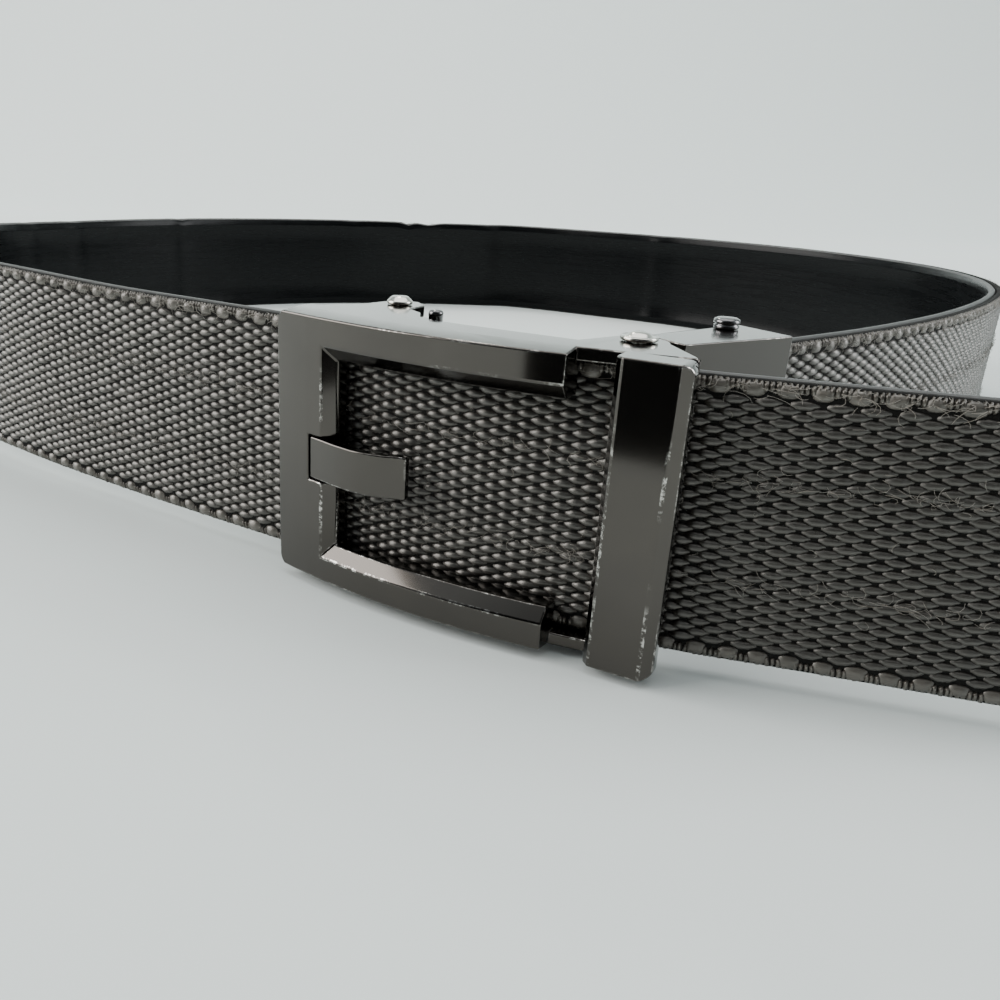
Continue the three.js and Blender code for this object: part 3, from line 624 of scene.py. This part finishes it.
class BeltStageSettings(bpy.types.PropertyGroup):
    lens: bpy.props.FloatProperty(
        name="Lens",
        description="Focal length for a 36 mm wide sensor",
        default=33.04,
        unit="CAMERA",
    )
    azimuth: bpy.props.FloatProperty(
        name="Azimuth",
        description="How far the camera is turned from looking along the Y axis",
        default=math.radians(30),
        subtype="ANGLE",
    )
    pitch: bpy.props.FloatProperty(
        name="Pitch",
        description="How far the camera looks down",
        default=0.352,
        subtype="ANGLE",
    )
    roll: bpy.props.FloatProperty(
        name="Roll",
        description="How far the camera leans",
        default=0.041,
        subtype="ANGLE",
    )
    shift: bpy.props.FloatProperty(
        name="Shift",
        description="Sideways shift of the picture, as a share of its width",
        default=0.085,
        subtype="FACTOR",
    )
    from_buckle: bpy.props.FloatVectorProperty(
        name="From the buckle",
        description="Camera's place from the middle of the buckle's base",
        default=(52.0 * MM, -96.5 * MM, 59.14 * MM),
        subtype="XYZ",
    )
    floor_colour: bpy.props.FloatVectorProperty(
        name="Floor",
        description="Colour of the floor",
        default=(0.755, 0.805, 0.79),
        subtype="COLOR",
    )


# Strap pieces

# The outlines of a float and of a pad of the edge row: the width left at the tips as a share of
# the greatest width, and how full the outline is towards the free end and away from it
LEAF = {"tip": 0.16, "full_near": 1.5, "full_far": 2.7}
PAD = {"tip": 0.5, "full_near": 3.2, "full_far": 3.2}
# How late the thread dives at a float's ends, and how much its far end stands out more
DIVE_POWER = 2.4
FAR_END_RISE = 0.14
# The repeated shapes of thread: their sizes as shares of the places that they fill and of the
# floats' height, how many steps they have along and across, and their outline
FLOAT = {"length": 0.95, "width": 1.8, "height": 1.4, "sunk": 1.22, "steps": (5, 4), "outline": LEAF}
EDGE_PAD = {"length": 0.74, "width": 1.28, "height": 1.25, "sunk": 1.1, "steps": (6, 4), "outline": PAD}
EDGE_TURN = {"length": 0.92, "width": 1.2, "height": 0.8, "sunk": 0.85, "steps": (3, 2), "outline": PAD}
# How they vary: shift along, up and proud in mm, turn in radians, and size as a share
FLOAT_SCATTER = {"shift": (0.07, 0.03, 0.025), "turn": 0.03, "size": 0.04}
EDGE_SCATTER = {"shift": (0.06, 0.03, 0.02), "turn": 0.03, "size": 0.05}
# Where the edge row's pads and turns lie, as shares of the selvedge, and how the turns lean
PAD_MIDDLE = 0.76
TURN_MIDDLE = 0.52
TURN_LEAN = math.radians(84)

# How the strap is cut into stretches, as shares of its length from the free end, so that no piece
# is too heavy
STRETCHES = (0.0, 0.13, 0.27, 0.42, 0.57, 0.71, 0.85, 1.0)

# The two lines along the strap where the thread is rubbed and frayed, as shares of its width
FRAYED_LINES = (0.3, 0.667)
FIBRE_RADIUS = 0.03 * MM
# The loose fibres: name, line as a share of the width, spread in mm, count and length in mm
FIBRE_ROWS = (
    ("fibres_lower_line", FRAYED_LINES[0], 0.35, 1500, 2.2),
    ("fibres_upper_line", FRAYED_LINES[1], 0.35, 1500, 2.2),
    ("fibres_top_edge", 0.974, 0.45, 2200, 2.6),
    ("fibres_scattered", 0.5, 9.0, 700, 1.6),
)
STITCHES_A_PITCH = 6

# Soft creases of the lining, from the free end: where, how wide, how far they stand inwards, and
# how far the top edge dips there
CREASES = (
    {"along": 0.353, "width": 2.5, "inwards": 0.5, "dip": 0.1},
    {"along": 0.375, "width": 2.5, "inwards": 0.5, "dip": 0.1},
    {"along": 0.425, "width": 1.8, "inwards": 0.7, "dip": 0.2},
    {"along": 0.503, "width": 4.0, "inwards": 0.5, "dip": 0.1},
    {"along": 0.527, "width": 2.2, "inwards": 0.9, "dip": 0.9},
    {"along": 0.536, "width": 4.0, "inwards": -0.4, "dip": 0.9},
    {"along": 0.563, "width": 4.0, "inwards": 0.6, "dip": 0.1},
    {"along": 0.643, "width": 3.0, "inwards": 0.5, "dip": 0.1},
)
# How far in from its edges the lining is painted
PAINTED_RIM = 0.42 * MM


def creased(flat, length, width, inner):
    """Adds the creases to flat places. inner is 1 on the lining's inner face and 0 elsewhere."""
    for crease in CREASES:
        share = np.exp(-(((flat[:, 0] - crease["along"] * length) / (crease["width"] * MM)) ** 2))
        flat[:, 2] -= inner * share * crease["inwards"] * MM
        flat[:, 1] -= share * crease["dip"] * MM * (flat[:, 1] / width) ** 2
    return flat


def thread_float(shape, along, across, rise):
    """One float of thread: a leaf-shaped dome whose ends dive steeply into the cloth."""
    length = along * shape["length"]
    width = across * shape["width"]
    height = rise * shape["height"]
    sunk = rise * shape["sunk"]
    long_steps, wide_steps = shape["steps"]
    outline = shape["outline"]
    bm = bmesh.new()
    bmesh.ops.create_grid(bm, x_segments=long_steps, y_segments=wide_steps, size=1)
    layer = bm.loops.layers.uv.new("thread")
    for vert in bm.verts:
        x = math.sin(vert.co.x * math.pi / 2)
        y = math.sin(vert.co.y * math.pi / 2)
        full = outline["full_far"] if x > 0 else outline["full_near"]
        share = outline["tip"] + (1 - outline["tip"]) * (1 - abs(x) ** full)
        crown = (1 - abs(x) ** DIVE_POWER) * (1 + FAR_END_RISE * x) * math.sqrt(max(0.0, 1 - y * y))
        vert.co = (x * length / 2, y * width / 2 * share, height * crown - sunk)
    rim = [e for e in bm.edges if e.is_boundary]
    bmesh.ops.holes_fill(bm, edges=rim, sides=0)
    for face in bm.faces:
        for loop in face.loops:
            loop[layer].uv = (loop.vert.co.x / MM, loop.vert.co.y / MM)
    return bm


def scatter(mesh, per_shape, amounts, rng):
    """Gives each of the repeated shapes its own small shift, height and shade."""
    flat = coordinates(mesh).reshape(-1, per_shape, 3)
    count = len(flat)
    middle = flat.mean(axis=1, keepdims=True)
    shift = rng.normal(size=(count, 1, 3)) * np.array(amounts["shift"]) * MM
    turn = rng.normal(size=(count, 1)) * amounts["turn"]
    size = 1 + rng.normal(size=(count, 1, 1)) * amounts["size"]
    local = (flat - middle) * np.concatenate([size, size, np.ones_like(size)], axis=2)
    local[:, :, 1] += local[:, :, 0] * turn
    placed = middle + local + shift
    own = mesh.attributes.new("own_shade", "FLOAT", "POINT")
    own.data.foreach_set("value", np.repeat(rng.random(count), per_shape).astype(np.float32))
    return placed.reshape(-1, 3)


class BELT_OT_cloth(bpy.types.Operator):
    """Builds the woven webbing: its ground cloth, its floats and its selvedges"""

    bl_idname = "belt.cloth"
    bl_label = "Woven Webbing"

    def execute(self, context):
        settings = context.scene.belt_strap
        strap = Strap("webbing")
        thread = thread_material("webbing_thread", settings.thread_colour, 0.5)
        rng = np.random.default_rng(SEED)
        self.ground(strap, settings)
        for k, (start, end) in enumerate(zip(STRETCHES, STRETCHES[1:])):
            self.floats(strap, settings, thread, k, start, end, rng)
        worn = thread_material("worn_thread", shade(settings.thread_colour, 3.7), 0.5)
        for name, upper in (("selvedge_top", True), ("selvedge_bottom", False)):
            self.selvedge(strap, settings, worn, name, upper, rng)
        return {"FINISHED"}

    def ground(self, strap, settings):
        depth = settings.float_height * 0.8
        back = strap.thickness
        corner = 0.25 * MM
        section = [
            (corner, -depth),
            (strap.width - corner, -depth),
            (strap.width, -depth - corner),
            (strap.width, corner - back),
            (strap.width - corner, -back),
            (corner, -back),
            (0, corner - back),
            (0, -depth - corner),
        ]
        mesh = mesh_from(swept(section, strap.length, 400), "webbing_ground")
        flat = creased(coordinates(mesh), strap.length, strap.width, 0.0)
        set_coordinates(mesh, strap.bend(flat))
        # The ground's darker colour is painted shade in the valleys between the floats
        material = ground_material("webbing_ground", settings.ground_shaded_colour)
        piece = add_piece("webbing_ground", mesh, material, ROOT)
        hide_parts("webbing")

    def floats(self, strap, settings, material, number, start, end, rng):
        pitch = settings.float_pitch
        spacing = settings.row_spacing
        columns = int(strap.length / pitch) - 1
        first = round(start * columns)
        last = round(end * columns)
        rows = 2 * int((strap.width - 2 * settings.selvedge) / spacing / 2)
        side = (strap.width - (rows - 1) * spacing) / 2
        height = settings.float_height
        bm = thread_float(FLOAT, pitch, spacing, height)
        copied = bmesh.ops.duplicate(bm, geom=bm.verts[:] + bm.edges[:] + bm.faces[:])
        second = [g for g in copied["geom"] if isinstance(g, bmesh.types.BMVert)]
        bmesh.ops.translate(bm, verts=second, vec=(pitch / 2, spacing, 0))
        per_float = len(second)
        bmesh.ops.translate(bm, verts=bm.verts, vec=((first + 0.6) * pitch, side, 0))
        repeats = ((last - first, (pitch, 0, 0)), (rows // 2, (0, spacing * 2, 0)))
        name = f"webbing_floats_{number + 1}"
        mesh = arrayed(bm, name, repeats)
        flat = scatter(mesh, per_float, FLOAT_SCATTER, rng)
        flat = creased(flat, strap.length, strap.width, 0.0)
        set_coordinates(mesh, strap.bend(flat))
        add_piece(name, mesh, material, ROOT)

    def selvedge(self, strap, settings, material, name, upper, rng):
        """The edge row: a broad pad in each pitch, and the weft's turns beside it."""
        pitch = settings.float_pitch
        height = settings.float_height
        band = settings.selvedge
        edge = strap.width if upper else 0.0
        inwards = -1 if upper else 1
        stitch = pitch / STITCHES_A_PITCH
        count = int(strap.length / pitch) - 2
        start = pitch * (0.6 if upper else 1.1)
        pad = thread_float(EDGE_PAD, pitch, band, height)
        turn = thread_float(EDGE_TURN, band, stitch, height)
        bmesh.ops.rotate(turn, verts=turn.verts, matrix=Matrix.Rotation(TURN_LEAN, 3, "Z"))
        rows = (
            ("pads", pad, edge + inwards * band * PAD_MIDDLE, pitch, count),
            ("turns", turn, edge + inwards * band * TURN_MIDDLE, stitch, count * STITCHES_A_PITCH),
        )
        for kind, bm, middle, step, number in rows:
            bmesh.ops.translate(bm, verts=bm.verts, vec=(start, middle, 0))
            per_shape = len(bm.verts)
            mesh = arrayed(bm, f"{name}_{kind}", ((number, (step, 0, 0)),))
            flat = scatter(mesh, per_shape, EDGE_SCATTER, rng)
            flat[:, 1] = np.clip(flat[:, 1], 0.02 * MM, strap.width - 0.02 * MM)
            flat = creased(flat, strap.length, strap.width, 0.0)
            set_coordinates(mesh, strap.bend(flat))
            add_piece(f"{name}_{kind}", mesh, material, ROOT)


class BELT_OT_frayed_fibres(bpy.types.Operator):
    """Builds the loose fibres that curl out of the rubbed lines and the upper edge"""

    bl_idname = "belt.frayed_fibres"
    bl_label = "Frayed Fibres"

    def execute(self, context):
        settings = context.scene.belt_strap
        strap = Strap("webbing")
        rng = np.random.default_rng(SEED + 1)
        material = fibre_material("frayed_fibre", shade(settings.thread_colour, 11.0))
        height = settings.float_height
        for name, line, spread, count, length in FIBRE_ROWS:
            mesh = self.fibres(name, count)
            flat = coordinates(mesh).reshape(count, -1, 3)
            along = rng.random(count) * (strap.length - 8 * MM) + 4 * MM
            up = line * strap.width + rng.normal(size=count) * spread * MM
            up = np.clip(up, 0.6 * MM, strap.width - 0.3 * MM)
            curled = self.curl(flat, rng, length * MM, height)
            curled[:, :, 0] += along[:, None]
            curled[:, :, 1] += up[:, None]
            curled = curled.reshape(-1, 3)
            curled[:, 1] = np.clip(curled[:, 1], 0.05 * MM, strap.width + 0.1 * MM)
            set_coordinates(mesh, strap.bend(curled))
            add_piece(name, mesh, material, ROOT)
        return {"FINISHED"}

    def fibres(self, name, count):
        """Straight thin fibres of length 1 along X, all in one place."""
        bm = bmesh.new()
        bmesh.ops.create_cone(
            bm, cap_ends=True, segments=3, radius1=FIBRE_RADIUS, radius2=FIBRE_RADIUS, depth=1
        )
        bmesh.ops.rotate(bm, verts=bm.verts, matrix=Matrix.Rotation(math.pi / 2, 3, "Y"))
        long_edges = [e for e in bm.edges if e.calc_length() > 0.5]
        bmesh.ops.subdivide_edges(bm, edges=long_edges, cuts=3, use_grid_fill=True)
        return arrayed(bm, name, ((count, (0, 0, 0)),))

    def curl(self, flat, rng, length, height):
        """Bends each straight fibre into an arc that lifts off the cloth and comes down again."""
        count = len(flat)
        t = flat[:, :, 0] + 0.5
        reach = (length * (0.5 + rng.random(count)))[:, None]
        heading = (rng.normal(size=count) * 0.5 + math.pi * (rng.random(count) > 0.5))[:, None]
        turn = (rng.normal(size=count) * 2.6)[:, None]
        turn = np.where(np.abs(turn) < 0.05, 0.05, turn)
        lift = (height * (0.3 + 0.9 * rng.random(count)))[:, None]
        x = (np.sin(heading + turn * t) - np.sin(heading)) / turn * reach
        y = -(np.cos(heading + turn * t) - np.cos(heading)) / turn * reach * 0.7
        z = lift * np.sin(math.pi * t) - 0.1 * height
        side = heading + turn * t + math.pi / 2
        x += np.cos(side) * flat[:, :, 1]
        y += np.sin(side) * flat[:, :, 1]
        return np.stack([x, y, z + flat[:, :, 2]], axis=2)


class BELT_OT_lining(bpy.types.Operator):
    """Builds the coated lining with its raised borders, creases and painted edges"""

    bl_idname = "belt.lining"
    bl_label = "Lining"

    def execute(self, context):
        settings = context.scene.belt_strap
        strap = Strap("lining")
        thick = strap.thickness
        edge = [(0.0, -0.3 * thick), (0.35 * MM, 0.0)]
        border = [
            (0.0, -0.7 * thick),
            (0.4 * MM, -thick),
            (1.7 * MM, -thick),
            (2.1 * MM, -thick - 0.12 * MM),
            (2.6 * MM, -thick - 0.12 * MM),
            (3.1 * MM, -thick + 0.05 * MM),
        ]
        lower_side = [edge[1], edge[0], *border]
        upper_side = [(strap.width - up, proud) for up, proud in lower_side]
        middle = [(strap.width * share, -thick + 0.05 * MM) for share in (0.25, 0.5, 0.75)]
        section = [*lower_side, *middle, *reversed(upper_side)]
        mesh = mesh_from(swept(section, strap.length, 460), "lining_coated")
        flat = coordinates(mesh)
        rim = np.minimum(flat[:, 1], strap.width - flat[:, 1]) < PAINTED_RIM
        inner = (flat[:, 2] < -thick * 0.8).astype(float)
        inner *= np.clip(np.minimum(flat[:, 1], strap.width - flat[:, 1]) / (2 * MM), 0.3, 1)
        flat = creased(flat, strap.length, strap.width, inner)
        set_coordinates(mesh, strap.bend(flat))
        material = lining_material("coated_lining", settings.lining_colour)
        piece = add_piece("lining_coated", mesh, material, ROOT)
        mesh.materials.append(painted_edge_material("painted_edge", settings.edge_colour))
        for face in mesh.polygons:
            face.material_index = int(rim[list(face.vertices)].all())
        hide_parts("lining")
        return {"FINISHED"}


# Buckle pieces


class BELT_OT_buckle(bpy.types.Operator):
    """Builds the buckle's casting and its prong, with rounded and worn edges"""

    bl_idname = "belt.buckle"
    bl_label = "Buckle"

    def execute(self, context):
        metal = context.scene.belt_metal
        gunmetal = plated_material("gunmetal", metal.gunmetal_colour, 0.12, metal.worn_colour)
        rows = (
            ("buckle_frame", metal.edge_radius, metal.corner_radius, ARM_LEVELS),
            ("prong", metal.prong_radius, 0.0, ()),
        )
        for node, radius, corner, levels in rows:
            name = f"{node}_cast"
            rounded_copy(node, name, radius, 4, gunmetal, ROOT, corner, levels)
        return {"FINISHED"}


class BELT_OT_sheet_metal(bpy.types.Operator):
    """Builds the release lever, the clamp box and the clamp's jaw"""

    bl_idname = "belt.sheet_metal"
    bl_label = "Lever and Clamp"

    def execute(self, context):
        metal = context.scene.belt_metal
        # Painted shade: the lever and clamp get a darker copy of the casting's gunmetal
        sheet_shaded_colour = shade(metal.gunmetal_colour, SHEET_PAINTED_SHADE)
        material = plated_material("gunmetal_sheet", sheet_shaded_colour, 0.2, metal.worn_colour, 0.5)
        bodies = (
            ("release_lever", "release_lever"),
            ("clamp_box", ROOT),
            ("clamp_jaw", "clamp_jaw"),
        )
        for node, body in bodies:
            rounded_copy(node, f"{node}_sheet", metal.sheet_radius, 2, material, body)
        return {"FINISHED"}


# Round fittings, as (share of the head's radius, share of the head's height) from the foot up
FLAT_HEAD = (
    (0.94, 0.0),
    (1.0, 0.12),
    (1.0, 0.34),
    (0.96, 0.42),
    (0.68, 0.86),
    (0.6, 0.94),
    (0.0, 1.0),
)
FLANGED_HEAD = (
    (0.9, 0.0),
    (1.0, 0.1),
    (1.0, 0.4),
    (0.96, 0.5),
    (0.82, 0.42),
    (0.68, 0.5),
    (0.56, 0.74),
    (0.36, 0.93),
    (0.0, 1.0),
)
GROOVED_HEAD = (
    (0.9, 0.0),
    (0.94, 0.1),
    (0.94, 0.3),
    (0.84, 0.36),
    (0.84, 0.44),
    (0.98, 0.5),
    (1.0, 0.62),
    (0.92, 0.82),
    (0.7, 0.94),
    (0.0, 1.0),
)
PIN_HEAD = ((1.0, 0.0), (1.0, 0.5), (0.9, 0.78), (0.6, 0.95), (0.0, 1.0))


class BELT_OT_fittings(bpy.types.Operator):
    """Builds the rivets and pins as turned bodies"""

    bl_idname = "belt.fittings"
    bl_label = "Rivets and Pins"

    def execute(self, context):
        metal = context.scene.belt_metal
        nickel = plated_material("nickel", metal.nickel_colour, 0.16, metal.worn_colour)
        dark = plated_material("dark_chrome", metal.pin_colour, 0.14, metal.worn_colour, 0.4)
        rows = (
            ("left_rivet", FLAT_HEAD, 1.1, 0.6, nickel, ROOT, "nickel"),
            ("right_rivet", FLANGED_HEAD, 1.1, 0.6, nickel, ROOT, "nickel"),
            ("lever_pin", PIN_HEAD, 0.9, 0.98, dark, "release_lever", "dark_chrome"),
            ("clamp_pin", GROOVED_HEAD, 1.5, 0.6, dark, ROOT, "dark_chrome"),
        )
        for node, head, height, shaft, material, body, slot in rows:
            self.fitting(node, head, height * MM, shaft, material, body, slot)
        return {"FINISHED"}

    def fitting(self, node, head, height, shaft, material, body, slot):
        low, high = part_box(node)
        radius = (high.x - low.x) / 2
        upper = [(radius * shaft, high.z - height)]
        upper += [(radius * out, high.z - height + height * up) for out, up in head]
        middle = (low.z + high.z) / 2
        lower = [(r, 2 * middle - z) for r, z in reversed(upper)]
        centre = (low + high) / 2
        bm = turned(lower + upper, centre.x, centre.y, 48)
        piece = add_piece(f"{node}_turned", mesh_from(bm, node), material, body)
        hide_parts(node)


TRACK_COLOUR = (0.02, 0.02, 0.022)


class BELT_OT_track(bpy.types.Operator):
    """Gives the toothed track its moulded plastic"""

    bl_idname = "belt.track"
    bl_label = "Ratchet Track"

    def execute(self, context):
        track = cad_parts["ratchet_track"]
        track.data.materials.clear()
        track.data.materials.append(plastic_material("track_plastic", TRACK_COLOUR))
        return {"FINISHED"}


# Stage

# Metres: half the floor's side, where it starts to curve up and how, and the wall above that
FLOOR_HALF = 3.0
SWEEP_START = 0.75
SWEEP_RADIUS = 0.6
SWEEP_STEPS = 16
WALL_HEIGHT = 1.6
# How much brighter the floor is painted far from the camera: painted light on the floor and wall behind
# the belt
FAR_PAINTED_LIGHT = 1.3

# The way out of the studio's open front, which is dark, and the sky's colours with their stops
OPEN_FRONT = (0.42, -0.9, 0.05)
SKY_STOPS = ((0.4, (0.74, 0.81, 0.83, 1)), (0.72, (0.05, 0.05, 0.055, 1)))

LIGHTS = (
    {
        "name": "overhead",
        "place": (0.0, 0.1, 1.25),
        "aim": (0.02, 0.0, 0.0),
        "wide": 1.4,
        "tall": 1.2,
        "power": 10.0,
        "colour": (1.0, 0.99, 0.97),
    },
    {
        "name": "left_panel",
        "place": (-1.15, -0.8, 0.72),
        "aim": (0.05, -0.12, 0.5),
        "wide": 1.25,
        "tall": 1.0,
        "power": 29.0,
        "colour": (1.0, 0.98, 0.95),
    },
    {
        "name": "right_panel",
        "place": (1.2, 0.5, 0.5),
        "aim": (0.1, 0.0, 0.02),
        "wide": 0.7,
        "tall": 0.9,
        "power": 12.0,
        "colour": (0.97, 0.99, 1.0),
    },
    {
        "name": "small_lamp",
        "place": (-0.177, 0.217, 0.415),
        "aim": (0.075, -0.143, 0.007),
        "wide": 0.05,
        "tall": 0.05,
        "power": 0.3,
        "colour": (1.0, 0.96, 0.86),
    },
)

# The black card in front of the buckle's right-hand bar
FLAG_SIZE = (0.12, 0.028)
FLAG_PLACE = (0.13, -0.207, 0.023)
FLAG_COLOUR = (0.01, 0.01, 0.011, 1)


class BELT_OT_stage(bpy.types.Operator):
    """Sets the pale floor, the soft lights and the camera"""

    bl_idname = "belt.stage"
    bl_label = "Stage"

    def execute(self, context):
        settings = context.scene.belt_stage
        self.floor(settings)
        self.sky(context.scene)
        self.lights()
        self.flag()
        self.camera(context.scene, settings)
        return {"FINISHED"}

    def floor(self, settings):
        """The floor, which curves up behind the belt as the camera sees it."""
        bm = bmesh.new()
        bmesh.ops.create_grid(bm, x_segments=1, y_segments=1, size=FLOOR_HALF)
        bmesh.ops.translate(bm, verts=bm.verts, vec=(0, SWEEP_START - FLOOR_HALF, 0))
        edge = [e for e in bm.edges if all(v.co.y > SWEEP_START - MM for v in e.verts)]
        for step in range(SWEEP_STEPS):
            grown = bmesh.ops.extrude_edge_only(bm, edges=edge)["geom"]
            edge = [g for g in grown if isinstance(g, bmesh.types.BMEdge)]
            verts = [g for g in grown if isinstance(g, bmesh.types.BMVert)]
            angle = (step + 0.5) / SWEEP_STEPS * math.pi / 2
            chord = SWEEP_RADIUS * math.pi / 2 / SWEEP_STEPS
            rise = (0, chord * math.cos(angle), chord * math.sin(angle))
            bmesh.ops.translate(bm, verts=verts, vec=rise)
        grown = bmesh.ops.extrude_edge_only(bm, edges=edge)["geom"]
        verts = [g for g in grown if isinstance(g, bmesh.types.BMVert)]
        bmesh.ops.translate(bm, verts=verts, vec=(0, 0, WALL_HEIGHT))
        bmesh.ops.rotate(bm, verts=bm.verts, matrix=Matrix.Rotation(settings.azimuth, 3, "Z"))
        for face in bm.faces:
            face.smooth = True
        mesh = mesh_from(bm, "floor")
        n = Nodes("floor")
        place = n.object_place()
        haze = n.noise(place, 9.0, 3.0)
        pale = settings.floor_colour
        near = n.ramp(haze, [(0.3, shade(pale, 0.97)), (0.7, pale)])
        # Painted light: the floor's colour brightens away from the camera
        away = n.add("ShaderNodeVectorMath", operation="DOT_PRODUCT")
        n.link(place, away.inputs[0])
        turn = settings.azimuth
        away.inputs[1].default_value = (-math.sin(turn), math.cos(turn), 0)
        far = n.ramp(away.outputs["Value"], [(0.15, 0.0), (0.7, 1.0)])
        base = n.mix(far, near, shade(pale, FAR_PAINTED_LIGHT))
        n.set(Roughness=0.75, Specular_IOR_Level=0.1)
        floor = bpy.data.objects.new("floor", mesh)
        bpy.context.scene.collection.objects.link(floor)
        mesh.materials.append(n.surface(base))

    def sky(self, scene):
        world = bpy.data.worlds.new("studio")
        scene.world = world
        world.use_nodes = True
        tree = world.node_tree
        background = tree.nodes["Background"]
        place = tree.nodes.new("ShaderNodeTexCoord")
        front = tree.nodes.new("ShaderNodeVectorMath")
        front.operation = "DOT_PRODUCT"
        front.inputs[1].default_value = OPEN_FRONT
        tree.links.new(place.outputs["Generated"], front.inputs[0])
        ramp = tree.nodes.new("ShaderNodeValToRGB")
        for element, (position, colour) in zip(ramp.color_ramp.elements, SKY_STOPS):
            element.position = position
            element.color = colour
        tree.links.new(front.outputs["Value"], ramp.inputs["Fac"])
        tree.links.new(ramp.outputs["Color"], background.inputs["Color"])
        background.inputs["Strength"].default_value = 1.0

    def lights(self):
        for row in LIGHTS:
            data = bpy.data.lights.new(row["name"], "AREA")
            data.shape = "RECTANGLE"
            data.size = row["wide"]
            data.size_y = row["tall"]
            data.energy = row["power"]
            data.color = row["colour"]
            light = bpy.data.objects.new(row["name"], data)
            bpy.context.scene.collection.objects.link(light)
            light.location = row["place"]
            aim = Vector(row["aim"]) - Vector(row["place"])
            light.rotation_euler = aim.to_track_quat("-Z", "Y").to_euler()
            light.visible_camera = False

    def flag(self):
        """A black card near the camera, which only the belt's reflections see."""
        bm = bmesh.new()
        bmesh.ops.create_grid(bm, x_segments=1, y_segments=1, size=0.5)
        bmesh.ops.scale(bm, verts=bm.verts, vec=(*FLAG_SIZE, 1))
        bmesh.ops.rotate(bm, verts=bm.verts, matrix=Matrix.Rotation(math.pi / 2, 3, "X"))
        bmesh.ops.translate(bm, verts=bm.verts, vec=FLAG_PLACE)
        mesh = mesh_from(bm, "black_card")
        n = Nodes("black_card")
        n.set(Roughness=0.9)
        n.shader.inputs["Base Color"].default_value = FLAG_COLOUR
        card = bpy.data.objects.new("black_card", mesh)
        bpy.context.scene.collection.objects.link(card)
        mesh.materials.append(n.material)
        card.visible_camera = False
        card.visible_diffuse = False
        card.visible_shadow = False

    def camera(self, scene, settings):
        data = bpy.data.cameras.new("camera")
        data.lens = settings.lens
        data.shift_x = settings.shift
        data.clip_start = 0.005
        camera = bpy.data.objects.new("camera", data)
        scene.collection.objects.link(camera)
        low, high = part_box("buckle_frame")
        base = Vector(((low.x + high.x) / 2, low.y, 0))
        turn = Matrix.Rotation(settings.azimuth, 4, "Z")
        down = Matrix.Rotation(math.pi / 2 - settings.pitch, 4, "X")
        lean = Matrix.Rotation(settings.roll, 4, "Z")
        place = Matrix.Translation(base + Vector(settings.from_buckle))
        camera.matrix_world = place @ turn @ down @ lean
        scene.camera = camera


class BELT_PT_panel(bpy.types.Panel):
    """Lists the belt's pieces in the sidebar"""

    bl_label = "Ratchet Belt"
    bl_idname = "BELT_PT_panel"
    bl_space_type = "VIEW_3D"
    bl_region_type = "UI"
    bl_category = "Belt"

    def draw(self, context):
        for group in ("belt_strap", "belt_metal", "belt_stage"):
            settings = getattr(context.scene, group)
            column = self.layout.column()
            for key in settings.bl_rna.properties.keys():
                if key not in ("rna_type", "name"):
                    column.prop(settings, key)
        for operator in OPERATORS:
            self.layout.operator(operator.bl_idname)


SETTINGS = {
    "belt_strap": BeltStrapSettings,
    "belt_metal": BeltMetalSettings,
    "belt_stage": BeltStageSettings,
}
OPERATORS = (
    BELT_OT_stage,
    BELT_OT_cloth,
    BELT_OT_frayed_fibres,
    BELT_OT_lining,
    BELT_OT_track,
    BELT_OT_buckle,
    BELT_OT_sheet_metal,
    BELT_OT_fittings,
)


def register():
    for cls in (*SETTINGS.values(), *OPERATORS, BELT_PT_panel):
        bpy.utils.register_class(cls)
    for name, cls in SETTINGS.items():
        setattr(bpy.types.Scene, name, bpy.props.PointerProperty(type=cls))


def unregister():
    for name in SETTINGS:
        delattr(bpy.types.Scene, name)
    for cls in reversed((*SETTINGS.values(), *OPERATORS, BELT_PT_panel)):
        bpy.utils.unregister_class(cls)


def main():
    register()
    for operator in OPERATORS:
        getattr(bpy.ops.belt, operator.bl_idname.split(".")[1])()


if __name__ == "__main__":
    main()
